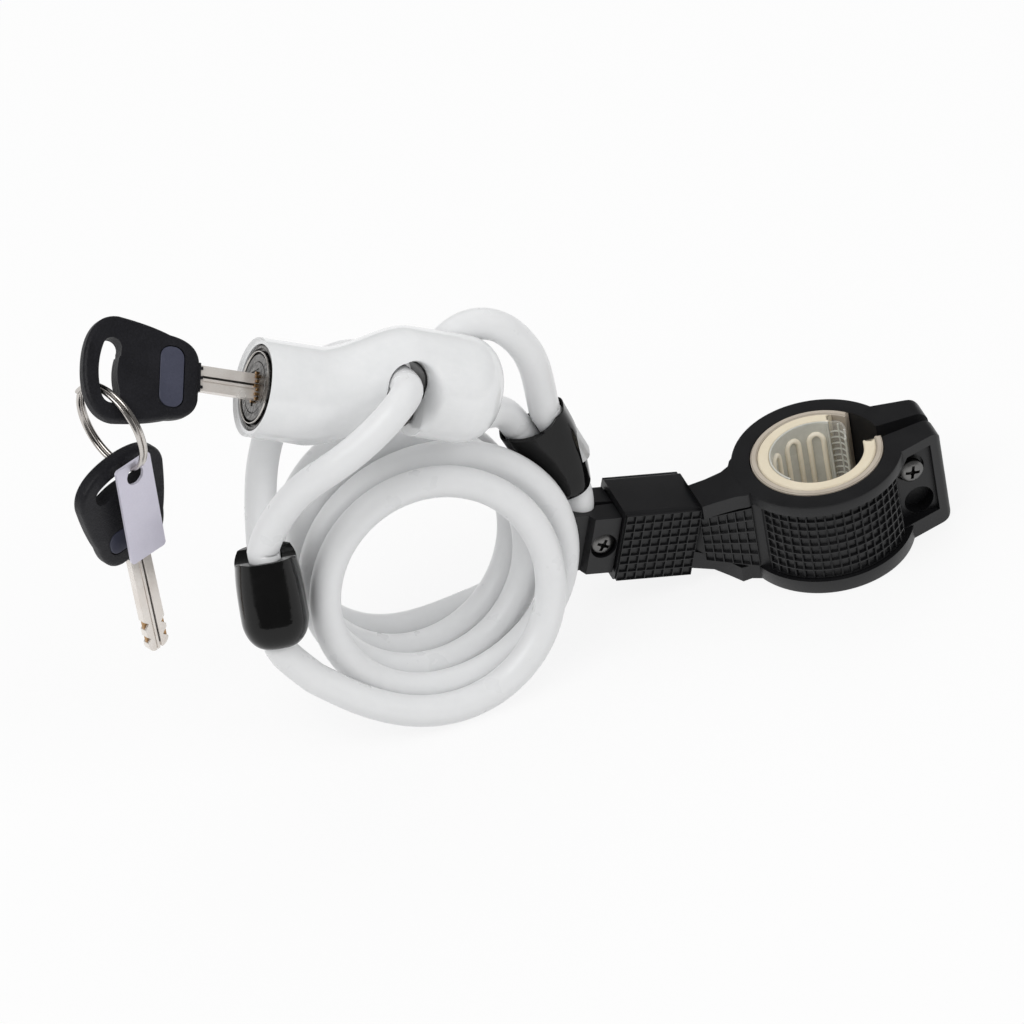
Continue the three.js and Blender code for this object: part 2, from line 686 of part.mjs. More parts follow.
// ---- Keys ----------------------------------------------------------------------------------
// Key frame: X along the blade to its tip, Z up across the bow, Y through its thickness.
const bowStart = KEY.bladeStart;
const bowEnd = KEY.bladeStart - KEY.bowLength;

function bowShape() {
  const s = new THREE.Shape();
  const h = KEY.bowHalf;
  const shoulder = bowStart - 5.5;
  s.moveTo(bowStart, -KEY.neckHalf);
  s.quadraticCurveTo(bowStart - 0.5, -KEY.shoulderHalf, shoulder, -KEY.shoulderHalf);
  s.quadraticCurveTo(shoulder - 8, -h + 0.8, bowEnd + 9, -h);
  s.bezierCurveTo(bowEnd + 3, -h, bowEnd, -8, bowEnd, 0);
  s.bezierCurveTo(bowEnd, 8, bowEnd + 3, h, bowEnd + 9, h);
  s.quadraticCurveTo(shoulder - 8, h - 0.8, shoulder, KEY.shoulderHalf);
  s.quadraticCurveTo(bowStart - 0.5, KEY.shoulderHalf, bowStart, KEY.neckHalf);
  return s;
}

// A slot bent round the middle of the bow, for the split ring.
function bowSlot() {
  const bend = 18;
  const middle = KEY.slotAt + bend;
  const half = Math.asin(KEY.slotReach / bend);
  const inner = bend - KEY.slotW / 2;
  const outer = bend + KEY.slotW / 2;
  const s = new THREE.Shape();
  s.absarc(middle, 0, outer, Math.PI - half, Math.PI + half, false);
  s.absarc(middle + bend * Math.cos(Math.PI + half), bend * Math.sin(Math.PI + half), KEY.slotW / 2, half + Math.PI, half + 2 * Math.PI, false);
  s.absarc(middle, 0, inner, Math.PI + half, Math.PI - half, true);
  s.absarc(middle + bend * Math.cos(Math.PI - half), bend * Math.sin(Math.PI - half), KEY.slotW / 2, -half, Math.PI - half, false);
  return s;
}

function standing(geometry) {
  return geometry.rotateX(Math.PI / 2);
}

function inlayShape(grow) {
  return roundedRectangle(KEY.inlayW + grow, KEY.inlayL + grow, KEY.inlayW / 2 - 0.4);
}

function keyBow() {
  const half = KEY.bowT / 2;
  const plate = standing(slab(bowShape(), -half, half, 7));
  const slot = standing(slab(bowSlot(), -half - CUT_SPARE, half + CUT_SPARE, 6));
  const pocket = standing(slab(inlayShape(0.3), half - KEY.inlayD, half + CUT_SPARE, 5));
  const tang = box(KEY.tang + SEAT_GAP, KEY.bladeT + SEAT_GAP, KEY.bladeH + SEAT_GAP);
  return cut(plate, slot, at(pocket, KEY.inlayAt, 0, 0), at(tang, bowStart - KEY.tang / 2 + SEAT_GAP / 2, 0, 0));
}

function keyBlade() {
  const x0 = bowStart - KEY.tang + SEAT_GAP;
  const shape = new THREE.Shape();
  const h = KEY.bladeH / 2;
  shape.moveTo(x0, -h);
  shape.lineTo(KEY.bladeEnd - 2, -h);
  shape.lineTo(KEY.bladeEnd, -h + 2);
  shape.lineTo(KEY.bladeEnd, h - 2);
  shape.lineTo(KEY.bladeEnd - 2, h);
  shape.lineTo(x0, h);
  const blade = standing(slab(shape, -KEY.bladeT / 2, KEY.bladeT / 2));
  const grooveLength = KEY.bladeEnd - KEY.bladeStart + 1.6;
  const groove = box(grooveLength, KEY.grooveD * 2, KEY.grooveW);
  const cuts = [];
  for (const side of [-1, 1]) {
    cuts.push(at(groove, KEY.bladeEnd - grooveLength / 2 + 2, (side * KEY.bladeT) / 2, 0));
    for (let i = 0; i < KEY.bittingCuts; i += 1) {
      const bite = new THREE.CylinderGeometry(1.5, 1.5, 2 * KEY.bladeT, 4);
      const depth = 3.9 + 0.35 * ((i * 2 + (side > 0 ? 1 : 0)) % 3);
      cuts.push(at(bite, KEY.bladeEnd - 3.6 - i * 3, 0, side * depth));
    }
  }
  return cut(blade, ...cuts);
}

function keyInlay() {
  const half = KEY.bowT / 2;
  const plate = standing(slab(inlayShape(-0.3), half - KEY.inlayD + SEAT_GAP / 2, half - 0.1, 5));
  return at(plate, KEY.inlayAt, 0, 0);
}

function addKey(parent, name) {
  add(parent, `${name}_bow`, keyBow(), MATERIAL.black);
  add(parent, `${name}_blade`, keyBlade(), MATERIAL.nickel);
  add(parent, `${name}_inlay`, keyInlay(), MATERIAL.inlay);
}

addKey(keyFrame, 'key_a');

// ---- Split ring, second key and tag --------------------------------------------------------
// The ring hangs in the lower end of the slot of the first key.
const slotFoot = V(KEY.slotAt + 1.6, 0, -KEY.slotReach + RING.seat).applyMatrix4(keyMatrix);
const keyTurned = new THREE.Matrix4().extractRotation(keyMatrix);
const throughDir = V(0, 1, 0).applyMatrix4(keyTurned).setZ(0).normalize();
const ringCentre = slotFoot.clone().add(V(0, 0, -RING.r));
// Ring frame: X is the ring's axis, Y the way through the keys, Z up.
const ringAxis = throughDir.clone().cross(Z_AXIS);
const ringFrame = frameGroup(frameMatrix(ringCentre, ringAxis, Z_AXIS));
model.add(ringFrame);

function splitRing() {
  const count = RING.turns * RING.stepsPerTurn;
  const points = [];
  for (let i = 0; i <= count; i += 1) {
    const angle = (2 * Math.PI * i) / RING.stepsPerTurn + 0.6;
    const x = RING.pitch * (i / RING.stepsPerTurn - RING.turns / 2);
    points.push(V(x, RING.r * Math.cos(angle), RING.r * Math.sin(angle)));
  }
  return tube(new THREE.CatmullRomCurve3(points), RING.wire / 2, count, RING.sides);
}

add(ringFrame, 'split_ring', splitRing(), MATERIAL.nickel);

// The second key hangs from the ring's lowest point, its blade straight down.
const HANG = { keyTurn: -2, tagAngle: 30 };
const keyBFrame = new THREE.Group();
const wireHalf = RING.wire / 2 + 0.3;
keyBFrame.position.set(0, 0, -RING.r - wireHalf);
keyBFrame.rotation.set(0, rad(90 + HANG.keyTurn), 0);
const keyBInner = new THREE.Group();
keyBInner.position.set(-(KEY.slotAt - KEY.slotW / 2) - 2 * wireHalf, 0, 0);
keyBFrame.add(keyBInner);
ringFrame.add(keyBFrame);
addKey(keyBInner, 'key_b');

function numberTag() {
  const shape = roundedRectangle(TAG.width, TAG.length, TAG.corner);
  const hole = new THREE.Path();
  hole.absarc(0, TAG.length / 2 - TAG.holeR - 1.6, TAG.holeR, 0, 2 * Math.PI, true);
  shape.holes.push(hole);
  return standing(slab(shape, -TAG.thick / 2, TAG.thick / 2, 8));
}

const tagMesh = add(ringFrame, 'number_tag', numberTag(), MATERIAL.tag);
const tagSin = Math.sin(rad(HANG.tagAngle));
const tagCos = Math.cos(rad(HANG.tagAngle));
const tagDrop = TAG.length / 2 - TAG.holeR - 1.6 + TAG.holeR - wireHalf - 0.3;
tagMesh.position.set(0, -RING.r * tagSin, -RING.r * tagCos - tagDrop);

// ---- Frame clamp ---------------------------------------------------------------------------
// Local frame: origin at the foot of the tube bore's axis, X to the ears, Z up.
const clampFrame = new THREE.Group();
clampFrame.position.set(CLAMP.x, CLAMP.y, 0);
clampFrame.rotation.z = rad(CLAMP.heading);
model.add(clampFrame);
const RING_SIDES = 48;

function clampRing() {
  const c = CLAMP;
  const profile = [
    [c.boreR, 0], [c.flangeR - 0.5, 0], [c.flangeR, 0.5], [c.flangeR, c.flangeH], [c.bandR, c.flangeH],
    [c.bandR, c.height - c.flangeH], [c.flangeR, c.height - c.flangeH], [c.flangeR, c.height - 0.5],
    [c.flangeR - 0.5, c.height], [c.boreR, c.height], [c.boreR, 0],
  ].map(([r, z]) => new THREE.Vector2(r, z));
  return new THREE.LatheGeometry(profile, RING_SIDES).rotateX(Math.PI / 2);
}

function ears() {
  const e = EAR;
  const plan = new THREE.Shape();
  plan.moveTo(e.root, -e.rootHalf);
  plan.lineTo(e.reach - e.corner, -e.tipHalf);
  plan.lineTo(e.reach, -e.tipHalf + e.corner);
  plan.lineTo(e.reach, e.tipHalf - e.corner);
  plan.lineTo(e.reach - e.corner, e.tipHalf);
  plan.lineTo(e.root, e.rootHalf);
  return slab(plan, 0, CLAMP.height);
}

// The slot between the ears, wider at the bore than at their tips.
function earSlot() {
  const e = EAR;
  const plan = new THREE.Shape();
  plan.moveTo(e.root, -e.slotRoot / 2);
  plan.lineTo(e.reach + CUT_SPARE, -e.slotTip / 2);
  plan.lineTo(e.reach + CUT_SPARE, e.slotTip / 2);
  plan.lineTo(e.root, e.slotRoot / 2);
  return slab(plan, -CUT_SPARE, CLAMP.height + CUT_SPARE);
}

// The neck between the ring and the socket of the collar, flanged like the ring.
const collarMatrix = (() => {
  const heading = rad(CLAMP.heading);
  const pitch = rad(COLLAR.pitch);
  const axis = V(Math.cos(heading) * Math.cos(pitch), Math.sin(heading) * Math.cos(pitch), -Math.sin(pitch));
  return frameMatrix(COLLAR.centre, axis, Z_AXIS);
})();
const clampMatrix = new THREE.Matrix4().makeRotationZ(rad(CLAMP.heading)).setPosition(CLAMP.x, CLAMP.y, 0);
const collarInClamp = clampMatrix.clone().invert().multiply(collarMatrix);

function plateRing(matrix, x, halfY, halfZ, rise = 0) {
  const corners = [[-1, -1], [1, -1], [1, 1], [-1, 1]];
  return corners.map(([y, z]) => V(x, y * halfY, rise + z * halfZ).applyMatrix4(matrix));
}

function neck() {
  const still = new THREE.Matrix4();
  const top = CLAMP.height - 2;
  const end = COLLAR.length / 2 + 0.6;
  const core = loft([
    plateRing(collarInClamp, end, 4.6, 5.2),
    plateRing(collarInClamp, end + 4, 5, 6.2),
    plateRing(still, -30, 5.4, 9.4, 13.8),
    plateRing(still, -17.2, 7, 10.2, 14.4),
  ]);
  const flanges = [-1, 1].map((side) => loft([
    plateRing(collarInClamp, end, 6.4, 1.1, side * 7.4),
    plateRing(collarInClamp, end + 4, 6.8, 1.1, side * 7.6),
    plateRing(still, -30, 6.8, 1.3, CLAMP.height / 2 + side * 10.6),
    plateRing(still, -17.2, 8.2, 1.5, CLAMP.height / 2 + 1.2 + side * (top / 2 - 2.4)),
  ]));
  return join(core, ...flanges);
}

// The tongue on the neck's end that plugs into the clip, inside the collar.
function neckTongue() {
  const half = COLLAR.length / 2;
  return loft([
    plateRing(collarInClamp, 1, 2.1, 4.6),
    plateRing(collarInClamp, half + 2.2, 2.1, 4.6),
  ]);
}

function clampCuts() {
  const e = EAR;
  const screwHole = rodY(SCREW.shankR + 0.25, -2 * e.rootHalf, 2 * e.rootHalf, 20);
  const pocketX = (e.pocketStart + e.pocketEnd) / 2;
  const pocketZ = (e.pocketLow + e.pocketTop) / 2;
  const pocket = box(e.pocketEnd - e.pocketStart, e.rootHalf, e.pocketTop - e.pocketLow);
  const nutSide = NUT.side + NUT.play;
  const nutPocket = box(nutSide, e.rootHalf, nutSide);
  const spareHole = rodY(e.spareR, -2 * e.rootHalf, -e.pocketFloor + e.spareDepth, 20);
  return [
    rodZ(CLAMP.boreR, -CUT_SPARE, CLAMP.height + CUT_SPARE, RING_SIDES),
    earSlot(),
    at(screwHole, e.screwX, 0, e.screwZ),
    at(pocket, pocketX, -e.pocketFloor - e.rootHalf / 2, pocketZ),
    at(nutPocket, e.screwX, e.pocketFloor - 0.6 + e.rootHalf / 2, e.screwZ),
    at(spareHole, e.screwX, 0, e.spareZ),
  ];
}

function clampBody() {
  const body = join(clampRing(), ears(), neck(), neckTongue());
  return cut(body, ...clampCuts());
}

// An open ring that lines the bore, from one angle to another.
function liner(outerR, thick, from, to) {
  const innerR = outerR - thick;
  const low = SEAT_GAP;
  const high = CLAMP.height - SEAT_GAP;
  const profile = [[innerR, low], [outerR, low], [outerR, high], [innerR, high]];
  const rings = [];
  for (let i = 0; i <= RING_SIDES; i += 1) {
    const angle = rad(THREE.MathUtils.lerp(from, to, i / RING_SIDES));
    rings.push(profile.map(([r, z]) => V(r * Math.cos(angle), r * Math.sin(angle), z)));
  }
  return sweepRings(rings);
}

// A closed body through rings of any outline; the ends are filled as flat polygons.
function sweepRings(rings) {
  const count = rings[0].length;
  const index = [];
  for (let k = 0; k + 1 < rings.length; k += 1) {
    for (let i = 0; i < count; i += 1) {
      const j = (i + 1) % count;
      const a = k * count + i;
      const b = k * count + j;
      index.push(a, b + count, b);
      index.push(a, a + count, b + count);
    }
  }
  const flat = rings[0].map((p) => new THREE.Vector2(Math.hypot(p.x, p.y), p.z));
  const faces = THREE.ShapeUtils.triangulateShape(flat, []);
  const last = (rings.length - 1) * count;
  for (const [a, b, c] of faces) {
    index.push(a, b, c);
    index.push(last + a, last + c, last + b);
  }
  const g = new THREE.BufferGeometry().setFromPoints(rings.flat());
  g.setIndex(index);
  return g;
}

function crossRecess(r) {
  const a = box(SCREW.crossL, SCREW.crossD * 2, SCREW.crossW);
  const b = box(SCREW.crossW, SCREW.crossD * 2, SCREW.crossL);
  return join(a, b).scale(r / SCREW.headR, 1, r / SCREW.headR);
}

// A pan-head screw along +Y with its head's top at y = 0.
function screw(length, headR = SCREW.headR) {
  const profile = [
    [0, 0], [headR * 0.6, 0], [headR, -0.8], [headR, -SCREW.headH], [SCREW.shankR, -SCREW.headH],
    [SCREW.shankR, -length], [0, -length],
  ].map(([r, y]) => new THREE.Vector2(r, y));
  const body = new THREE.LatheGeometry(profile.reverse(), 20);
  return cut(body, crossRecess(headR)).rotateZ(Math.PI);
}

function squareNut() {
  const plate = box(NUT.side, NUT.thick, NUT.side);
  return cut(plate, rodY(SCREW.shankR + 0.25, -NUT.thick, NUT.thick, 20));
}

add(clampFrame, 'frame_clamp', clampBody(), MATERIAL.black);
const clampScrew = add(clampFrame, 'clamp_screw', screw(EAR.screwLength), MATERIAL.steel);
clampScrew.position.set(EAR.screwX, -EAR.pocketFloor - SEAT_GAP - SCREW.headH, EAR.screwZ);
const clampNut = add(clampFrame, 'clamp_nut', squareNut(), MATERIAL.steel);
clampNut.position.set(EAR.screwX, EAR.pocketFloor - 0.6 + NUT.thick / 2 + SEAT_GAP, EAR.screwZ);

const outerLinerR = CLAMP.boreR - SEAT_GAP;
const innerLinerR = outerLinerR - LINER.outerT - SEAT_GAP;
const linerOuter = liner(outerLinerR, LINER.outerT, LINER.outerFrom, LINER.outerTo);
const linerInner = liner(innerLinerR, LINER.innerT, LINER.innerFrom, LINER.innerTo);
add(clampFrame, 'liner_outer', linerOuter, MATERIAL.clear);
add(clampFrame, 'liner_inner', linerInner, MATERIAL.cream);

// ---- Collar and cable clip -----------------------------------------------------------------
const collarFrame = frameGroup(collarMatrix);
model.add(collarFrame);

function collar() {
  const c = COLLAR;
  const outer = roundedRectangle(c.height, c.depth, 1.4);
  const inner = roundedRectangle(c.height - 2 * c.wall, c.depth - 2 * c.wall, 0.6);
  const half = c.length / 2;
  const shell = slab(outer, -half, half, 4).rotateY(Math.PI / 2);
  const bore = slab(inner, -half - CUT_SPARE, half + CUT_SPARE, 4).rotateY(Math.PI / 2);
  return cut(shell, bore);
}

const clipPointLocal = CLIP_POINT.clone().applyMatrix4(collarMatrix.clone().invert());

// The cable as the clip's frame sees it, for the groove in the jaws.
function clipGroove() {
  const inverse = collarMatrix.clone().invert();
  const points = [];
  const steps = 24;
  for (let i = 0; i <= steps; i += 1) {
    points.push(coil.getPointAt(1 - (0.1 * (steps - i)) / steps).applyMatrix4(inverse));
  }
  return tube(new THREE.CatmullRomCurve3(points), CABLE_R + SEAT_GAP, steps, 14);
}

// One jaw; side is -1 for the front and 1 for the rear.
function clipJaw(side) {
  const left = clipPointLocal.x - CABLE_R + 1.2;
  const mouth = -COLLAR.length / 2;
  const shankEnd = COLLAR.length / 2 - 1;
  const outerHalf = CLIP.depth / 2;
  const leftHalf = side < 0 ? CLIP.thinHalf : outerHalf;
  const innerHalf = COLLAR.depth / 2 - COLLAR.wall - SEAT_GAP;
  const shankHalf = COLLAR.height / 2 - COLLAR.wall - SEAT_GAP;
  const outline = new THREE.Shape();
  const edge = (x, y) => outline.lineTo(x, side * y);
  outline.moveTo(left, (side * CLIP.slotLeft) / 2);
  edge(mouth, CLIP.slotRight / 2);
  edge(mouth + 1, 2.1 + SEAT_GAP);
  edge(shankEnd, 2.1 + SEAT_GAP);
  edge(shankEnd, innerHalf);
  edge(mouth - SEAT_GAP, innerHalf);
  edge(mouth - SEAT_GAP, outerHalf);
  edge(mouth - CLIP.thick, outerHalf);
  edge(mouth - CLIP.thick - 1, leftHalf);
  edge(left, leftHalf);
  const block = slab(outline, -CLIP.height / 2, CLIP.height / 2);
  const trim = at(box(60, 60, 20), 30 + mouth - SEAT_GAP, 0, shankHalf + 10);
  const trimLow = at(box(60, 60, 20), 30 + mouth - SEAT_GAP, 0, -shankHalf - 10);
  return cut(block, trim, trimLow, clipGroove(), ...clipScrewCuts(side));
}

const clipScrewX = -COLLAR.length / 2 - CLIP.screwIn;

function clipScrewCuts(side) {
  const face = CLIP.depth / 2;
  const hole = at(rodY(SCREW.shankR + 0.25, -2 * face, 2 * face, 18), clipScrewX, 0, CLIP.screwRise);
  if (side > 0) {
    const nut = at(box(NUT.side - 0.4, NUT.thick, NUT.side - 0.4), clipScrewX, face - 0.4, CLIP.screwRise);
    return [hole, nut];
  }
  const seat = rodY(SCREW.headR + SEAT_GAP, -2 * face, -face + SCREW.headH + 0.2, 20);
  return [hole, at(seat, clipScrewX, 0, CLIP.screwRise)];
}

add(collarFrame, 'grip_collar', collar(), MATERIAL.black);
add(collarFrame, 'clip_jaw_front', clipJaw(-1), MATERIAL.black);
add(collarFrame, 'clip_jaw_rear', clipJaw(1), MATERIAL.black);
const clipScrew = add(collarFrame, 'clip_screw', screw(CLIP.depth - 1.2), MATERIAL.steel);
clipScrew.position.set(clipScrewX, -CLIP.depth / 2 - 0.1, CLIP.screwRise);

// The model's origin: the middle of the foot of its box, without the cables.
const CORD_NAMES = ['cable_coil', 'eye_loop_left', 'eye_loop_right'];

function bodyBox() {
  model.updateMatrixWorld(true);
  const result = new THREE.Box3();
  model.traverse((node) => {
    if (node.isMesh && !CORD_NAMES.includes(node.name)) result.expandByObject(node, true);
  });
  return result;
}

const body = bodyBox();
const bodyCentre = body.getCenter(V(0, 0, 0));
model.position.set(-bodyCentre.x, -bodyCentre.y, -body.min.z);
console.log('origin in the drawing frame, mm:', bodyCentre.x, bodyCentre.y, body.min.z);

export default model;
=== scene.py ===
"""Self-coiling bicycle cable lock, dressed round the fixed frame of its solids.

Sizes are millimetres in the drawing's frame until a piece is settled, which puts it in the row
frame in metres. Angles are degrees, apart from those that go straight into a sine or a cosine.
"""
import logging
import math
from collections.abc import Callable, Sequence
from dataclasses import dataclass
from enum import Enum
from functools import cache
from itertools import pairwise, product

import bmesh
import bpy
from mathutils import Matrix, Vector


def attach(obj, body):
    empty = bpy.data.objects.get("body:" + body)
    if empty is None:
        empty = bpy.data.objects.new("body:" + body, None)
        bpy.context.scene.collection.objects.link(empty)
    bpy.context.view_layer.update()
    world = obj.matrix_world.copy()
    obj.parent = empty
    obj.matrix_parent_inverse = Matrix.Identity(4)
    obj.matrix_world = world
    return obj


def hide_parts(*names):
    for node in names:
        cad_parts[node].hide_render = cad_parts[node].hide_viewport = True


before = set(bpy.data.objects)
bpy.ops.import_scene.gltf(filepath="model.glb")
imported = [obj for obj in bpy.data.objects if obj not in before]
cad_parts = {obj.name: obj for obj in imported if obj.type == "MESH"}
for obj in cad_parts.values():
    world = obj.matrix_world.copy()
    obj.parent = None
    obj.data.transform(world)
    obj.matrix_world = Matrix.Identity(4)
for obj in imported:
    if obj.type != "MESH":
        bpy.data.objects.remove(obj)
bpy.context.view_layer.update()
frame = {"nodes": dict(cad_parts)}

LOG = logging.getLogger("cable_lock")
MM = 0.001
ORIGIN = Vector((-1.5612807, 48.3424467, 0.0))
TO_ROW = Matrix.Scale(MM, 4) @ Matrix.Translation(ORIGIN)
Z_AXIS = Vector((0.0, 0.0, 1.0))
SIDES = (-1, 1)

Flat = tuple[float, float]
Point = tuple[float, float, float]
Piece = bpy.types.Object
Patch = Callable[[float, float], Vector]


# ---- Frames and curves -----------------------------------------------------------------------
def placed(origin: Sequence[float], x_dir: Sequence[float], z_hint: Sequence[float]) -> Matrix:
    """Make a frame from its origin, its X direction and a hint of its Z.

    Args:
        origin: Where the frame stands.
        x_dir: The way its X axis runs.
        z_hint: Roughly the way its Z axis runs.

    Returns:
        The frame as a 4x4 matrix.
    """
    x = Vector(x_dir).normalized()
    y = Vector(z_hint).cross(x).normalized()
    turn = Matrix((x, y, x.cross(y))).transposed().to_4x4()
    return Matrix.Translation(Vector(origin)) @ turn


def degrees_about(angle: float, axis: str) -> Matrix:
    """Return a turn about a named axis."""
    return Matrix.Rotation(math.radians(angle), 4, axis)


def shift(x: float, y: float, z: float) -> Matrix:
    """Return a shift."""
    return Matrix.Translation((x, y, z))


def shares(steps: int) -> list[float]:
    """Return even shares from 0 to 1, both included."""
    return [i / steps for i in range(steps + 1)]


def full_turn(sides: int) -> list[float]:
    """Return the angles, in radians, of so many corners round a full turn."""
    return [2 * math.pi * i / sides for i in range(sides)]


def spun(along: float, radius: float, angle: float, axis: str) -> Vector:
    """Return a point so far along an axis, so far from it and so many radians round it."""
    a, b = radius * math.cos(angle), radius * math.sin(angle)
    return Vector({"X": (along, a, b), "Y": (b, along, a), "Z": (a, b, along)}[axis])


def arc(centre: Flat, radius: float, start: float, end: float, steps: int = 12) -> list[Flat]:
    """Return points of a flat arc between two angles, ends included."""
    turn = [math.radians(start + (end - start) * share) for share in shares(steps)]
    return [(centre[0] + radius * math.cos(a), centre[1] + radius * math.sin(a)) for a in turn]


def rounded(width: float, height: float, corner: float) -> list[Flat]:
    """Return the outline of a rectangle with round corners.

    Args:
        width: Its size along X.
        height: Its size along Y.
        corner: The radius of its corners.

    Returns:
        The outline's points.
    """
    x, y = width / 2 - corner, height / 2 - corner
    outline: list[Flat] = []
    for centre, start in (((x, -y), -90), ((x, y), 0), ((-x, y), 90), ((-x, -y), 180)):
        outline += arc(centre, corner, start, start + 90, 8)
    return outline


def bezier(stops: Sequence[Flat], steps: int = 14) -> list[Flat]:
    """Return points of a quadratic or cubic curve.

    Args:
        stops: Its control points.
        steps: The number of steps.

    Returns:
        The points, without the last.
    """
    result = []
    for share in shares(steps)[:-1]:
        rest = [Vector(p) for p in stops]
        while len(rest) > 1:
            rest = [a.lerp(b, share) for a, b in pairwise(rest)]
        result.append(tuple(rest[0]))
    return result


def through(stops: Sequence[Vector], per_span: int) -> list[Vector]:
    """Lead a smooth line through points, with even tension (centripetal).

    Args:
        stops: The points that the line passes.
        per_span: How many steps there are from one to the next.

    Returns:
        The points of the line.
    """
    padded = [stops[0] * 2 - stops[1], *stops, stops[-1] * 2 - stops[-2]]
    line: list[Vector] = []
    for k in range(1, len(padded) - 2):
        p0, p1, p2, p3 = span = padded[k - 1:k + 3]
        d0, d1, d2 = (max((b - a).length ** 0.5, 1e-6) for a, b in pairwise(span))
        m1 = ((p1 - p0) / d0 - (p2 - p0) / (d0 + d1) + (p2 - p1) / d1) * d1
        m2 = ((p2 - p1) / d1 - (p3 - p1) / (d1 + d2) + (p3 - p2) / d2) * d1
        for t in shares(per_span)[:-1]:
            a = 2 * t**3 - 3 * t**2 + 1
            b = t**3 - 2 * t**2 + t
            line.append(p1 * a + m1 * b + p2 * (1 - a) + m2 * (t**3 - t**2))
    return [*line, stops[-1].copy()]


def eased(line: Sequence[Vector], passes: int = 40, still: int = 14) -> list[Vector]:
    """Take small kinks out of a line.

    Args:
        line: Its points.
        passes: How many times it is smoothed.
        still: The points at each end that stay.

    Returns:
        The smoothed points.
    """
    result, last = list(line), len(line) - still
    for _ in range(passes):
        result = [
            p if k < still or k >= last else (result[k - 1] + p * 2 + result[k + 1]) / 4
            for k, p in enumerate(result)
        ]
    return result


# ---- Camera ----------------------------------------------------------------------------------
@dataclass(frozen=True)
class Viewpoint:
    """The camera at the photograph's angle."""

    target: Point = (0.0, -47.5, 37.7)
    elevation: float = 38.4
    roll: float = 9.5
    lens: float = 800.0
    sensor: float = 36.0
    width: float = 256.0
    clip: Flat = (0.1, 50.0)

    def build(self) -> None:
        """Make the scene's camera."""
        data = bpy.data.cameras.new("camera")
        data.lens = self.lens
        data.sensor_width = self.sensor
        data.clip_start, data.clip_end = self.clip
        camera = link("camera", data)
        turn = degrees_about(90.0 - self.elevation, "X") @ degrees_about(-self.roll, "Z")
        away = shift(0.0, 0.0, self.width * self.lens / self.sensor)
        place = TO_ROW @ shift(*self.target) @ turn @ away
        camera.matrix_world = Matrix.Translation(place.translation) @ turn
        bpy.context.scene.camera = camera


# ---- Shader graphs ---------------------------------------------------------------------------
class Flow:
    """A value on its way through a material, with the arithmetic that the finishes use."""

    def __init__(self, graph: "Graph", socket: bpy.types.NodeSocket) -> None:
        """Keep the socket and the graph that it belongs to."""
        self.graph = graph
        self.socket = socket

    def __add__(self, other: "Flow | float") -> "Flow":
        """Return the sum."""
        return self.graph.node("ShaderNodeMath", {0: self, 1: other}, operation="ADD")

    def __mul__(self, other: "Flow | float") -> "Flow":
        """Return the product."""
        return self.graph.node("ShaderNodeMath", {0: self, 1: other}, operation="MULTIPLY")

    __radd__ = __add__
    __rmul__ = __mul__

    def over(self, low: float, high: float) -> "Flow":
        """Return 0 below low, 1 above high, and even steps between."""
        inputs = {"Value": self, "From Min": low, "From Max": high}
        return self.graph.node("ShaderNodeMapRange", inputs, clamp=True)


class Graph:
    """The nodes of one material or world."""

    def __init__(self, owner: bpy.types.Material | bpy.types.World) -> None:
        """Start with the nodes that a new material or world has.

        Args:
            owner: The material or world.
        """
        owner.use_nodes = True
        self.owner = owner
        self.tree = owner.node_tree

    def node(self, kind: str, inputs: dict, output: int | str = 0, **settings: object) -> Flow:
        """Add any node.

        Args:
            kind: The node's type.
            inputs: The value or link of each named or numbered socket.
            output: Which socket is taken.
            settings: What is set on the node before its sockets.

        Returns:
            The flow out of that socket.
        """
        new = self.tree.nodes.new(kind)
        for key, value in settings.items():
            setattr(new, key, value)
        for key, value in inputs.items():
            self.feed(new.inputs[key], value)
        return Flow(self, new.outputs[output])

    def feed(self, socket: bpy.types.NodeSocket, value: Flow | float | Sequence[float]) -> None:
        """Put a link or a constant on a socket.

        Args:
            socket: The input that is fed.
            value: What it gets.
        """
        if isinstance(value, Flow):
            self.tree.links.new(value.socket, socket)
        else:
            socket.default_value = value

    def set(self, node: str, **values: Flow | float | Sequence[float]) -> None:
        """Feed the sockets of a node that was there; underscores stand for spaces."""
        for key, value in values.items():
            self.feed(self.tree.nodes[node].inputs[key.replace("_", " ")], value)

    def place(self, x: float = 1.0, y: float = 1.0, z: float = 1.0) -> Flow:
        """Return the surface's own place in mm, stretched.

        Args:
            x: How much it is scaled along X.
            y: The same along Y.
            z: The same along Z.

        Returns:
            The place.
        """
        where = self.node("ShaderNodeTexCoord", {}, "Object")
        inputs = {"Vector": where, "Scale": (x / MM, y / MM, z / MM)}
        return self.node("ShaderNodeMapping", inputs, vector_type="POINT")

    def noise(self, where: Flow, per_mm: float, detail: float = 3.0, rough: float = 0.55) -> Flow:
        """Return a soft noise with so many features to the millimetre."""
        inputs = {"Vector": where, "Scale": per_mm, "Detail": detail, "Roughness": rough}
        return self.node("ShaderNodeTexNoise", inputs)


class Grain(Enum):
    """The pattern that a finish carries."""

    SCRATCHED = "scratched"
    MOULDED = "moulded"
    PEBBLED = "pebbled"
    BRUSHED = "brushed"
    CAST = "cast"
    RIBBED = "ribbed"


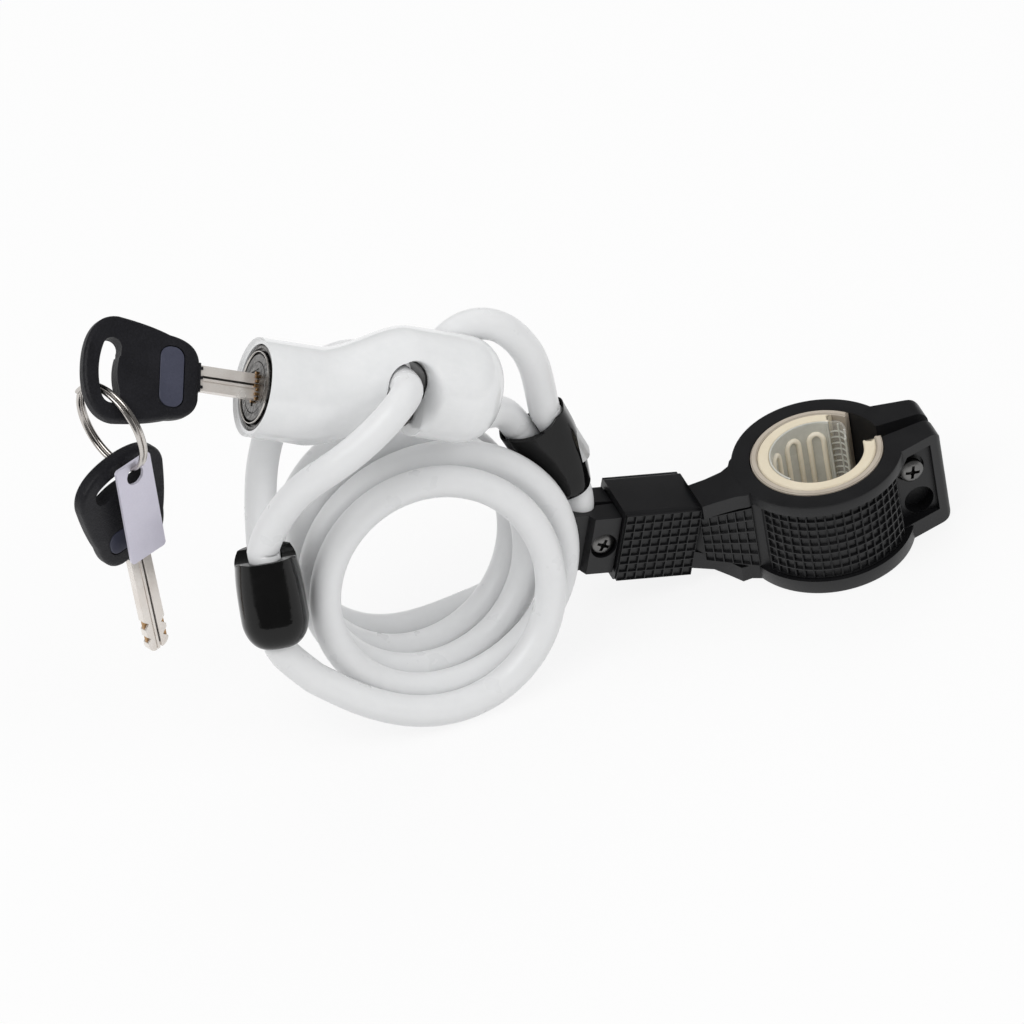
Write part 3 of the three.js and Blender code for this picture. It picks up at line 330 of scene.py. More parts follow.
@dataclass(frozen=True)
class Finish:
    """One surface finish: its colour, its gloss and its grain."""

    name: str
    slot: str
    dark: Point
    light: Point
    rough: Flat
    grain: Grain = Grain.MOULDED
    per_mm: float = 1.2
    depth: float = 0.02
    metal: float = 0.0
    specular: float = 0.5
    coat: float = 0.0
    subsurface: float = 0.0
    alpha: float = 1.0

    def height(self, graph: Graph) -> Flow:
        """Return the grain's height over the surface.

        Args:
            graph: The material's nodes.

        Returns:
            The height, from 0 to 1.
        """
        fine = self.per_mm
        if self.grain is Grain.BRUSHED:
            return graph.noise(graph.place(x=0.06), fine * 4, 4.0, 0.7)
        if self.grain is Grain.SCRATCHED:
            return graph.noise(graph.place(z=0.12), fine, 5.0, 0.7).over(0.34, 0.66)
        where = graph.place()
        inputs = {"Vector": where, "Scale": fine}
        if self.grain is Grain.PEBBLED:
            cells = graph.node("ShaderNodeTexVoronoi", inputs, feature="SMOOTH_F1")
            return cells.over(0.1, 0.7) * 0.7 + graph.noise(where, fine * 2.2) * 0.3
        if self.grain is Grain.RIBBED:
            return graph.node("ShaderNodeTexWave", inputs, wave_type="BANDS", bands_direction="Z")
        if self.grain is Grain.CAST:
            return graph.noise(where, fine, 6.0, 0.75).over(0.3, 0.7)
        return graph.noise(where, fine, 4.0, 0.6)

    def build(self) -> bpy.types.Material:
        """Make the material.

        Returns:
            The node material.
        """
        graph = Graph(bpy.data.materials.new(self.name))
        height = self.height(graph)
        patches = graph.noise(graph.place(), 0.11)
        low, high = self.rough
        share = (patches * 0.6 + height * 0.4).over(0.3, 0.7)
        tones = {0: share, 6: (*self.dark, 1.0), 7: (*self.light, 1.0)}
        graph.set(
            "Principled BSDF",
            Base_Color=graph.node("ShaderNodeMix", tones, 2, data_type="RGBA"),
            Roughness=patches.over(0.3, 0.7) * (high - low) + low,
            Normal=graph.node("ShaderNodeBump", {"Height": height, "Distance": self.depth * MM}),
            Metallic=self.metal,
            Specular_IOR_Level=self.specular,
            Coat_Weight=self.coat,
            Alpha=self.alpha,
            Subsurface_Weight=self.subsurface,
        )
        if self.subsurface:
            graph.set("Principled BSDF", Subsurface_Radius=grey(1.0), Subsurface_Scale=2 * MM)
        return graph.owner


def grey(value: float) -> Point:
    """Return a neutral colour."""
    return (value, value, value)


SHEATH = Finish("sheath", "cable_sheath", (0.80, 0.805, 0.81), (0.83, 0.835, 0.84), (0.26, 0.34),
                per_mm=0.5, depth=0.004, specular=0.45, subsurface=0.2)
SHELL = Finish("shell", "head_shell", (0.80, 0.81, 0.815), (0.86, 0.865, 0.87), (0.12, 0.2),
               per_mm=0.5, depth=0.01, coat=0.3)
BOOT = Finish("boot", "sleeve_gloss", grey(0.002), grey(0.005), (0.05, 0.12), per_mm=0.3,
              depth=0.05, specular=0.3)
CRIMP = Finish("crimp", "crimp_metal", grey(0.5), grey(0.62), (0.3, 0.5), Grain.CAST, metal=0.9)
CORE = Finish("core", "core_steel", (0.03, 0.028, 0.026), (0.16, 0.15, 0.14), (0.24, 0.42),
              Grain.BRUSHED, per_mm=1.6, metal=1.0)
FACE = Finish("face", "core_steel", (0.02, 0.019, 0.018), (0.32, 0.31, 0.30), (0.2, 0.36),
              Grain.SCRATCHED, per_mm=1.5, depth=0.03, metal=1.0)
CAST = Finish("cast_zinc", "cam_metal", grey(0.32), grey(0.44), (0.4, 0.6), Grain.CAST, metal=0.9)
BRASS = Finish("brass", "wafer_brass", (0.36, 0.2, 0.09), (0.56, 0.36, 0.18), (0.25, 0.42),
               Grain.BRUSHED, metal=1.0)
NICKEL = Finish("nickel", "key_metal", (0.74, 0.67, 0.61), (0.95, 0.92, 0.88), (0.16, 0.3),
                Grain.BRUSHED, per_mm=1.0, depth=0.008, metal=0.45)
GRIP = Finish("grip", "key_plastic", (0.0065, 0.0065, 0.0085), (0.014, 0.014, 0.018), (0.42, 0.58),
              Grain.PEBBLED, per_mm=2.4, depth=0.09, specular=0.32)
INLAY = Finish("inlay", "key_inlay", (0.035, 0.038, 0.062), (0.06, 0.064, 0.10), (0.3, 0.45),
               per_mm=2.0)
WIRE = Finish("wire", "ring_metal", (0.46, 0.43, 0.40), (0.70, 0.67, 0.64), (0.12, 0.22),
              Grain.BRUSHED, metal=1.0)
PLATE = Finish("plate", "tag_plate", (0.62, 0.60, 0.70), (0.72, 0.70, 0.80), (0.3, 0.42),
               Grain.BRUSHED, per_mm=0.7, depth=0.006, metal=0.25)
BLACK = Finish("black", "bracket_plastic", (0.006, 0.006, 0.007), (0.012, 0.012, 0.013),
               (0.34, 0.46), per_mm=3.0, depth=0.03, specular=0.42)
SCREW = Finish("screw", "screw_steel", grey(0.09), (0.24, 0.235, 0.23), (0.26, 0.4),
               Grain.BRUSHED, per_mm=2.0, metal=1.0)
# A lighter copy of the cream: painted light for the arches on the shaded far wall.
RELIEF_PAINTED_LIGHT = Finish("relief_painted_light", "liner_cream", (0.86, 0.79, 0.65), (0.92, 0.86, 0.73), (0.3, 0.42))
CREAM = Finish("cream", "liner_cream", (0.74, 0.65, 0.49), (0.80, 0.72, 0.56), (0.3, 0.42),
               per_mm=0.8, subsurface=0.15)
FROST = Finish("frost", "liner_clear", (0.58, 0.58, 0.52), (0.74, 0.74, 0.68), (0.25, 0.4),
               per_mm=0.6, depth=0.03, alpha=0.9, subsurface=0.2)
CLEAR = Finish("clear", "liner_clear", (0.70, 0.70, 0.66), (0.80, 0.80, 0.76), (0.12, 0.25),
               per_mm=0.5, alpha=0.22)
HAZE = Finish("haze", "liner_clear", (0.46, 0.40, 0.33), (0.62, 0.55, 0.46), (0.15, 0.3),
              Grain.RIBBED, per_mm=0.9, depth=0.05, alpha=0.85, subsurface=0.1)


@cache
def made(finish: Finish) -> bpy.types.Material:
    """Return a finish's one material."""
    return finish.build()


# ---- Pieces ----------------------------------------------------------------------------------
def link(name: str, data: bpy.types.ID) -> Piece:
    """Make an object of some data and link it to the scene.

    Args:
        name: The object's name.
        data: Its mesh, curve, lamp or camera.

    Returns:
        The object.
    """
    piece = bpy.data.objects.new(name, data)
    bpy.context.scene.collection.objects.link(piece)
    return piece


def moved(piece: Piece, place: Matrix) -> Piece:
    """Move a body's own points, and return it."""
    piece.data.transform(place)
    return piece


def standing(piece: Piece) -> Piece:
    """Stand a flat plate up, so that its outline's Y runs along Z."""
    return moved(piece, degrees_about(90, "X"))


def solid(name: str, points: Sequence[Vector], faces: Sequence[Sequence[int]],
          weld: bool = True) -> Piece:
    """Make a body of points and faces, with its faces turned outwards.

    Args:
        name: The object's name.
        points: Its corners.
        faces: The corners of each face.
        weld: Whether corners that meet are joined.

    Returns:
        The body.
    """
    mesh = bpy.data.meshes.new(name)
    mesh.from_pydata([tuple(p) for p in points], [], faces)
    work = bmesh.new()
    work.from_mesh(mesh)
    if weld:
        bmesh.ops.remove_doubles(work, verts=work.verts, dist=1e-5)
    bmesh.ops.recalc_face_normals(work, faces=work.faces)
    work.to_mesh(mesh)
    work.free()
    return link(name, mesh)


def loft(name: str, rings: Sequence[Sequence[Vector]], looped: bool = False) -> Piece:
    """Join a row of rings of equal count into one body.

    Args:
        name: The object's name.
        rings: The rings, in order.
        looped: Whether the last joins the first, instead of two end faces.

    Returns:
        The body.
    """
    count = len(rings[0])
    spans = len(rings) if looped else len(rings) - 1
    faces: list[tuple[int, ...]] = []
    for k in range(spans):
        low, high = k * count, (k + 1) % len(rings) * count
        for i in range(count):
            j = (i + 1) % count
            faces.append((low + i, low + j, high + j, high + i))
    if not looped:
        faces += [tuple(range(count)), tuple(range(spans * count, len(rings) * count))]
    return solid(name, [p for ring in rings for p in ring], faces)


def prism(name: str, outline: Sequence[Flat], low: float, high: float) -> Piece:
    """Pull a flat outline up along Z."""
    return loft(name, [[Vector((x, y, z)) for x, y in outline] for z in (low, high)])


def pillow(name: str, outline: Sequence[Flat], half: float, round_r: float) -> Piece:
    """Make a plate from a clockwise outline, its rim rounded to a radius.

    Args:
        name: The object's name.
        outline: The outline's points.
        half: Half its thickness.
        round_r: The radius of the rim's rounding.

    Returns:
        The plate.
    """
    inward = []
    for k in range(len(outline)):
        way = (Vector(outline[(k + 3) % len(outline)]) - Vector(outline[k - 3])).normalized()
        inward.append((way.y, -way.x))
    rings = []
    for side in SIDES:
        for share in shares(6)[::-side]:
            a = math.pi / 2 * share
            inset = round_r * (1 - math.sin(a))
            z = side * (half - round_r + round_r * math.cos(a))
            rings.append([
                Vector((x + u * inset, y + v * inset, z)) for (x, y), (u, v) in zip(outline, inward)
            ])
    return loft(name, rings)


def turned(name: str, profile: Sequence[Flat], axis: str, sides: int = 96) -> Piece:
    """Turn a closed profile of (along, radius) points about an axis."""
    return loft(name, [[spun(x, r, a, axis) for x, r in profile] for a in full_turn(sides)], True)


def rod(name: str, radius: float, low: float, high: float, axis: str, at: Point = (0, 0, 0),
        sides: int = 64) -> Piece:
    """Make a round bar along an axis, moved by a vector."""
    bar = loft(name, [[spun(x, radius, a, axis) for a in full_turn(sides)] for x in (low, high)])
    return moved(bar, shift(*at))


def block(name: str, size: Point, centre: Point = (0, 0, 0)) -> Piece:
    """Make a square block round a centre."""
    x, y, z = (s / 2 for s in size)
    return moved(prism(name, [(-x, -y), (x, -y), (x, y), (-x, y)], -z, z), shift(*centre))


def tube(name: str, line: Sequence[Vector], radius: float, sides: int = 32) -> Piece:
    """Make a round tube along a line.

    Args:
        name: The object's name.
        line: The points of its middle.
        radius: Its radius.
        sides: The points round it.

    Returns:
        The body.
    """
    first = (line[1] - line[0]).normalized()
    side = Z_AXIS if abs(first.z) < 0.9 else Vector((1.0, 0.0, 0.0))
    rings = []
    for k, p in enumerate(line):
        ahead = (line[min(k + 1, len(line) - 1)] - line[max(k - 1, 0)]).normalized()
        side = (side - ahead * side.dot(ahead)).normalized()
        other = ahead.cross(side)
        round_it = [spun(0.0, radius, a, "Z") for a in full_turn(sides)]
        rings.append([p + side * q.x + other * q.y for q in round_it])
    return loft(name, rings)


def combine(how: str, body: Piece, others: Sequence[Piece]) -> Piece:
    """Join or cut a body with others, which are used up.

    Args:
        how: The boolean operation.
        body: The body that is changed.
        others: What it is joined or cut with.

    Returns:
        The body.
    """
    for other in others:
        step = body.modifiers.new(how, "BOOLEAN")
        step.operation = how
        step.solver = "MANIFOLD"
        step.object = other
    graph = bpy.context.evaluated_depsgraph_get()
    mesh = bpy.data.meshes.new_from_object(body.evaluated_get(graph))
    body.modifiers.clear()
    body.data = mesh
    for other in others:
        bpy.data.objects.remove(other)
    return body


def carve(body: Piece, *tools: Piece) -> Piece:
    """Cut tools out of a body."""
    return combine("DIFFERENCE", body, tools)


def fuse(body: Piece, *others: Piece) -> Piece:
    """Join other bodies to a body."""
    return combine("UNION", body, others)


def waffle(name: str, patch: Patch, cols: int, rows: int, rib: float = 0.055,
           height: float = 0.8) -> Piece:
    """Cover a patch with rows of sunk squares between thin ribs.

    Args:
        name: The object's name.
        patch: The point at a share across and a share up; its front lies to the right of up.
        cols: Squares across.
        rows: Squares up.
        rib: The half width of a rib, as a share of a square.
        height: How far the ribs stand out.

    Returns:
        The squares with their ribs, as one object.
    """
    def at(x: float, y: float) -> Vector:
        """Return the patch's point at so many squares across and up."""
        return patch(x / cols, y / rows)

    points: list[Vector] = []
    faces: list[tuple[int, ...]] = []
    for i, j in product(range(cols), range(rows)):
        across = at(i + 1, j + 0.5) - at(i, j + 0.5)
        out = across.cross(at(i + 0.5, j + 1) - at(i + 0.5, j)).normalized()
        first = len(points)
        for a, rise in ((0.0, -0.3), (0.0, height), (rib, height), (rib + 0.08, 0.08)):
            b = 1 - a
            points += [at(i + u, j + v) + out * rise for u, v in ((a, a), (b, a), (b, b), (a, b))]
        for low, k in product((first, first + 4, first + 8), range(4)):
            n = (k + 1) % 4
            faces.append((low + k, low + n, low + 4 + n, low + 4 + k))
        faces += [tuple(range(low, low + 4)) for low in (first, first + 12)]
    return solid(name, points, faces, weld=False)


def settle(piece: Piece, place: Matrix, finish: Finish, body: str, *nodes: str,
           edge: float = 0.0, segments: int = 3, corner: float = 34.0) -> None:
    """Put a finished piece in the row frame and on its body, and shade it smoothly.

    Args:
        piece: The object, in mm in its own frame.
        place: Its frame in the drawing.
        finish: What it wears.
        body: The body that it rides on.
        nodes: The CAD nodes that it stands for.
        edge: The width of its edges' rounding, or nothing.
        segments: The steps of that rounding.
        corner: The angle from which an edge is sharp.
    """
    mesh = piece.data
    mesh.transform(TO_ROW @ place)
    mesh.materials.clear()
    mesh.materials.append(made(finish))
    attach(piece, body)
    if nodes:
        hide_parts(*nodes)
    mesh.polygons.foreach_set("use_smooth", [True] * len(mesh.polygons))
    mesh.set_sharp_from_angle(angle=math.radians(corner))
    if edge:
        step = piece.modifiers.new("edges", "BEVEL")
        step.width = edge * MM
        step.segments = segments
        step.limit_method = "ANGLE"
        step.angle_limit = math.radians(corner)
        step.harden_normals = True
    LOG.info("%s rides on %s", piece.name, body)


# ---- Routes of the cables --------------------------------------------------------------------
CABLE_D = 8.0
CABLE_R = CABLE_D / 2
HALF_SPACING = 4.2
FERRULE_SEAT = 8.0
FERRULE_LENGTH = 8.0
STRAND_SEAT = FERRULE_SEAT + FERRULE_LENGTH + 0.3
LEFT_FOOT = Vector((-62.5, -79.4, 34.0))
LEFT_LEAN = 22.0
LEFT_FRAME = Matrix.Translation(LEFT_FOOT) @ degrees_about(-LEFT_LEAN, "X")
RIGHT_FOOT = Vector((16.4, -37.4, 34.4))
RIGHT_RISE = Vector((8.6, -36.0, 56.8)) - RIGHT_FOOT
RIGHT_UP = RIGHT_RISE.normalized()
RIGHT_FRAME = placed(RIGHT_FOOT, Vector((0.0, 1.0, 0.0)).cross(RIGHT_UP), RIGHT_UP)


def left_strand(side: int, *rises: float) -> list[Vector]:
    """Return points on a strand in the left boot, so far above its seat."""
    return [LEFT_FRAME @ Vector((0.0, side * HALF_SPACING, STRAND_SEAT + rise)) for rise in rises]


def right_strand(side: int, *rises: float) -> list[Vector]:
    """Return points on a strand in the right boot, so far above its seat."""
    return [RIGHT_FRAME @ Vector((side * HALF_SPACING, 0.0, STRAND_SEAT + rise)) for rise in rises]


@dataclass(frozen=True)
class CoilRoute:
    """The middle line of the coiled cable, from the left boot to the right one."""

    radius: float = 30.0
    turns: int = 4
    pitch: float = 9.0
    yaw: float = 15.0
    lean: float = 15.7
    foot: Flat = (-20.3, -70.5)
    slide: float = 7.6
    slide_turn: float = 1.3
    slide_rise: float = 0.35
    slide_fall: float = 0.6
    lead_forward: float = 1.2
    steps: int = 24

    def axes(self) -> tuple[Vector, Vector, Vector]:
        """Return the turns' own directions.

        Returns:
            Right, back and up.
        """
        yaw, lean = math.radians(self.yaw), math.radians(self.lean)
        back = Vector((-math.sin(yaw), math.cos(yaw), 0.0))
        up = back * math.sin(lean) + Z_AXIS * math.cos(lean)
        return Vector((math.cos(yaw), math.sin(yaw), 0.0)), back, up

    def point(self, t: float) -> Vector:
        """Return the middle of the cable at a turn count.

        Args:
            t: How many turns from the first turn's foot.

        Returns:
            The point.
        """
        right, back, up = self.axes()
        spread = self.slide_rise if t < self.slide_turn else self.slide_fall
        envelope = math.exp(-(((t - self.slide_turn) / spread) ** 2))
        angle = 2 * math.pi * t
        slide = self.slide * envelope * (1 + math.sin(angle)) / 2
        foot = Vector((*self.foot, self.radius * up.z + CABLE_R - CABLE_D / 10))
        foot += back * self.pitch * max(t, 0.0)
        foot += right * (slide + self.radius * math.sin(angle))
        return foot - up * self.radius * math.cos(angle)

    def left_lead(self) -> list[Vector]:
        """Return the quarter turn that comes down out of the left boot.

        Returns:
            Its points, from the boot to the first turn.
        """
        _, back, _ = self.axes()
        left_up = LEFT_FRAME.to_3x3() @ Z_AXIS
        flare = LEFT_FOOT - self.point(-0.25)
        flare.z = 0.0
        points = [LEFT_FOOT + left_up * rise for rise in (CABLE_D, CABLE_D / 2, -1.0)]
        for share in shares(self.steps // 4)[-2:0:-1]:
            forward = self.lead_forward * math.sin(math.pi * min(1.0, share * 1.2))
            points.append(self.point(-0.25 * share) + flare * share * share - back * forward)
        return points

    def stops(self) -> list[Vector]:
        """Return every point that the cable is led through, from boot to boot.

        Returns:
            The points.
        """
        turns = [self.point(i / self.steps) for i in range(self.turns * self.steps + 1)]
        right = self.axes()[0]
        run = ((8, (0.0, 0.9, 0.3)), (17, (0.0, 1.0, 1.0)), (26, (0.0, 0.2, 3.0)))
        climb = (
            (1.6, -38.4, 6.6), (7.2, -38.9, 10.5), (11.2, -39.6, 15.8), (13.7, -39.9, 22.2),
            (16.4, -39.2, 28.6),
        )
        return [
            *self.left_lead(), *turns,
            *(turns[-1] + right * along + Vector(aside) for along, aside in run),
            *map(Vector, climb),
            *(RIGHT_FOOT + RIGHT_UP * rise for rise in (-1.0, 3.0, CABLE_D)),
        ]


LEFT_LOOP: list[Vector] = [
    *left_strand(-1, 0, 6, 11),
    *map(Vector, (
        (-57.1, -73.6, 69.5), (-50.4, -76.6, 79.6), (-42.2, -78.8, 85.2), (-34.4, -78, 90),
        (-27.6, -76.6, 94.6), (-21.8, -72.6, 98.2), (-19.9, -66.8, 96.7), (-22, -58.4, 93),
        (-24.8, -48.4, 89.2), (-28.2, -38, 84.8), (-32.4, -30.4, 82.6), (-39.6, -28.2, 79.8),
        (-47.6, -31, 76.5), (-54.2, -37, 72.5), (-58.8, -46, 68), (-61, -54.6, 63.6),
    )),
    *left_strand(1, 11, 6, 0),
]
RIGHT_LOOP: list[Vector] = [
    *right_strand(1, 0, 5, 10),
    *map(Vector, (
        (12.2, -36.6, 74.4), (9, -36.9, 82.4), (5.2, -37.8, 88.8), (-0.6, -37.6, 91.4),
        (-7.6, -39.4, 90.8), (-13.2, -43.2, 87), (-15.9, -46.6, 81.4), (-15.4, -48.8, 75.4),
        (-11.8, -49, 71), (-6.6, -47.2, 69.4), (-2.2, -43.6, 67.2), (1.4, -39.2, 63.8),
    )),
    *right_strand(-1, 10, 3, 0),
]


@dataclass
class CableSet:
    """The coil and the loop at each of its ends."""

    route: CoilRoute = CoilRoute()

    def lay(self, name: str, stops: Sequence[Vector], per_span: int, lay: str) -> None:
        """Lay one cable along its stops.

        Args:
            name: The CAD node's name, and the start of the piece's.
            stops: What it is led through.
            per_span: Steps between two stops.
        """
        line = [TO_ROW @ p for p in eased(through(stops, per_span))]
        data = bpy.data.curves.new(name, "CURVE")
        data.dimensions = "3D"
        data.bevel_depth = CABLE_R * MM
        data.bevel_resolution = 8
        data.use_fill_caps = True
        data.materials.append(made(SHEATH))
        spline = data.splines.new("POLY")
        spline.points.add(len(line) - 1)
        for knot, p in zip(spline.points, line):
            knot.co = (*p, 1.0)
        piece = link(name + "_sheath", data)
        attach(piece, "root")
        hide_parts(name)

    def build(self) -> None:
        """Lay the three cables."""
        self.lay("cable_coil", self.route.stops(), 4, "coiled")
        self.lay("eye_loop_left", LEFT_LOOP, 8, "loose")
        self.lay("eye_loop_right", RIGHT_LOOP, 8, "loose")


# ---- Frames of the sub-assemblies ------------------------------------------------------------
HEAD_FRAME = placed((-58.3, -59.8, 100.0), (0.880, 0.1175, -0.4605), (0.369, 0.442, 0.818))
KEY_A_FRAME = HEAD_FRAME @ degrees_about(-27.0, "X")
RING_R = 12.0
WIRE_HALF = 0.8
CLAMP_FRAME = shift(77.8, -32.0, 0.0) @ degrees_about(15, "Z")
COLLAR_AXIS = degrees_about(15, "Z") @ degrees_about(17, "Y") @ Vector((1.0, 0.0, 0.0))
COLLAR_FRAME = placed((32.7, -35.5, 16.6), COLLAR_AXIS, Z_AXIS)


# ---- Lock head -------------------------------------------------------------------------------
@dataclass
class LockHead:
    """The moulded head, the lock body in its end and the plug in that."""

    length: float = 63.5
    barrel_r: float = 12.5
    waist_r: float = 12.0
    block_r: float = 13.6
    block_rise: float = 7.5
    blend: Flat = (15.0, 38.0)
    dome: float = 9.5
    rim: float = 0.7
    rim_wall: float = 1.7
    core_end: float = 10.7
    cam_end: float = 29.9
    cam_r: float = 7.7
    bolt_r: float = 4.0
    bolt_tip: float = 42.4
    notch_at: float = 36.5
    notch_width: float = 12.4
    notch_rise: float = 7.9
    flare_width: float = 3.0
    plug_r: float = 6.4
    plug_face: float = 0.6
    plug_end: float = 10.4
    keyway: Point = (30.0, 2.6, 7.1)
    play: float = 0.3

    def ring(self, x: float, radius: float, rise: float) -> list[Vector]:
        """Return one round section of the head."""
        lift = Z_AXIS * rise
        return [spun(x, radius, a, "X") + lift for a in full_turn(112)]

    def outer(self) -> Piece:
        """Return the outside of the head, uncut.

        Returns:
            The body.
        """
        rings = []
        for share in shares(5):
            inset = self.rim * (1 - math.sin(math.pi / 2 * share))
            rings.append(self.ring(inset, self.barrel_r - inset, 0))
        start, end = self.blend
        for t in shares(36):
            share = t * t * (3 - 2 * t)
            waist = math.sin(math.pi * t) * (self.barrel_r - self.waist_r)
            radius = self.barrel_r + (self.block_r - self.barrel_r) * share - waist
            rings.append(self.ring(start + (end - start) * t, radius, share * self.block_rise))
        for share in shares(14):
            a = math.radians(78) * share
            x = self.length - self.dome * (1 - math.sin(a))
            rings.append(self.ring(x, self.block_r * (0.35 + 0.65 * math.cos(a)), self.block_rise))
        return loft("lock_head", rings)

    def notch(self) -> list[Piece]:
        """Return the arch that the bolt crosses, with the dish beside its mouth.

        Returns:
            The bodies to cut.
        """
        x, z, half = self.notch_at, self.notch_rise, 2 * self.block_r
        arch = rod("arch", self.notch_width / 2, -half, half, "Y", (x, 0, z))
        slot = block("slot", (self.notch_width - 0.02, 2 * half, 40.0), (x, 0, z - 20))
        return [arch, slot, self.flare()]

    def flare(self) -> Piece:
        """Return the soft hollow that runs down from the arch on its right.

        Returns:
            The body to cut.
        """
        radius, wide = self.notch_width / 2, self.flare_width
        path: list[tuple[float, ...]] = []
        for share in shares(14):
            a = math.radians(112 * (1 - share))
            out_x, out_z = math.cos(a), math.sin(a)
            width = wide * (0.08 + 0.92 * share ** 0.8)
            path.append((radius * out_x, radius * out_z, out_x, out_z, width, 3.4 * width))
        for fade in shares(9)[1:]:
            width = wide * (1 - 0.25 * fade)
            path.append((radius, -11.0 * fade, 1.0, 0.0, width, width * (3.4 - 3.2 * fade)))
        rings = []
        for x, z, out_x, out_z, width, deep in path:
            turn = full_turn(40)[:11]
            dish = [(width * (1 - math.cos(t)), deep * (1 - math.sin(t))) for t in turn]
            ring = []
            for u, y in ((-1.0, deep), *dish, (width, -3.0), (-1.0, -3.0)):
                height = self.notch_rise + z + out_z * u
                skin = -math.sqrt(max(self.block_r ** 2 - (height - self.block_rise) ** 2, 0.0))
                ring.append(Vector((self.notch_at + x + out_x * u, skin + y, height)))
            rings.append(ring)
        return loft("flare", rings)

    def painted_shade(self) -> None:
        """Make a dark sheet high on the notch's right wall, behind the flare, as painted shade for
        the dark gap beside the cable.
        """
        inner, outer = self.notch_width / 2 - 0.45, self.notch_width / 2 + 0.6
        rings = []
        for k in range(21):
            a = math.radians(122 * (1 - min(k / 14, 1)) - 90)
            middle = Vector((self.notch_at, 0.0, self.notch_rise - 0.55 * max(k - 14, 0)))
            front = -7.8 + 1.6 * k / 20
            corners = ((inner, front), (outer, front), (outer, 4.0), (inner, 4.0))
            rings.append([middle + spun(y, r, -a, "Y") for r, y in corners])
        # The black sheet is painted shade in the notch's gap.
        settle(loft("notch_painted_shade", rings), HEAD_FRAME, BLACK, "root", edge=0.12, segments=2)

    def shell(self) -> None:
        """Make the moulded head, bored for the lock body, the cam, the bolt and the right loop."""
        inverse, play = HEAD_FRAME.inverted(), self.play
        loop = [inverse @ p for p in through(RIGHT_LOOP[5:15], 5)]
        core_r = self.barrel_r - self.rim_wall + play / 2
        head = carve(
            self.outer(),
            rod("core_bore", core_r, -1.0, self.core_end, "X"),
            rod("cam_bore", self.cam_r + play, self.core_end - 1, self.cam_end + play, "X"),
            rod("bolt_bore", self.bolt_r + play, self.cam_end - 1, self.bolt_tip + play, "X"),
            *self.notch(),
            tube("eye_hole", loop, CABLE_R + 0.5),
            block("pin_groove", (15.4, 9.5, 3.0), (21.3, 4.75, 0.0)),
        )
        settle(head, HEAD_FRAME, SHELL, "root", "head_shell", edge=0.35)

    def lock_body(self) -> None:
        """Make the lock body: a dark face with a groove and a ridge round the plug, the ridge in
        brighter metal as a painted highlight.
        """
        r, hole = self.barrel_r - self.rim_wall, self.plug_r + 0.08
        steps = ((self.plug_end, 0), (1.3, 0), (1.0, 0.3), (1.0, 0.9), (1.7, 1.05), (1.7, 1.5),
                 (0.5, 1.65), (0.35, 1.8), (0.5, 1.95), (1.4, 2.1), (1.4, 2.4), (0.62, 2.55))
        outside = [(x, r - inset) for x, inset in steps]
        profile = [(self.plug_end, hole), *outside, (0.62, hole + 0.1), (0.72, hole)]
        body = turned("lock_body", profile, "X", 112)
        settle(body, HEAD_FRAME, FACE, "root", "core_barrel")
        # The raised ridge is real; its brighter finish on the same steel is a painted highlight.
        crest = ((0.32, 1.9), (0.32, 1.7), (0.6, 1.6), (0.6, 2.0))
        ridge = turned("ridge_painted_highlight", [(x, r - inset) for x, inset in crest], "X", 112)
        settle(ridge, HEAD_FRAME, WIRE, "root", "core_barrel")

    def plug(self) -> None:
        """Make the plug with its keyway, and the brass edges of the wafers in it."""
        face, r, end = self.plug_face, self.plug_r, self.plug_end
        profile = [(face, 0.0), (face, r - 0.12), (face + 0.12, r), (end, r), (end, 0.0)]
        plug = carve(
            turned("plug", profile, "X"),
            block("keyway", self.keyway, (5.0, 0.0, 0.0)),
            *(block("ward", (30.0, 1.1, 1.0), (5.0, s * 1.3, s * 1.4)) for s in SIDES),
            *(block("wear", (0.5, 4.4, 1.5), (face, 0.0, s * 3.7)) for s in SIDES),
        )
        settle(plug, KEY_A_FRAME, FACE, "plug", "cylinder_plug", edge=0.12, segments=2)
        bits = [
            block("bit", (0.9 + 0.5 * (k % 2), 0.8, 0.7),
                  (face - 0.1, side * (1.35 + 0.3 * (k % 3)), 1.1 * (k - 3)))
            for side, k in product(SIDES, range(7))
        ]
        settle(fuse(*bits), KEY_A_FRAME, BRASS, "plug", edge=0.1, segments=2)

    def build(self) -> None:
        """Make the head's pieces."""
        self.shell()
        # A dark sheet of painted shade in the notch.
        self.painted_shade()
        self.lock_body()
        self.plug()


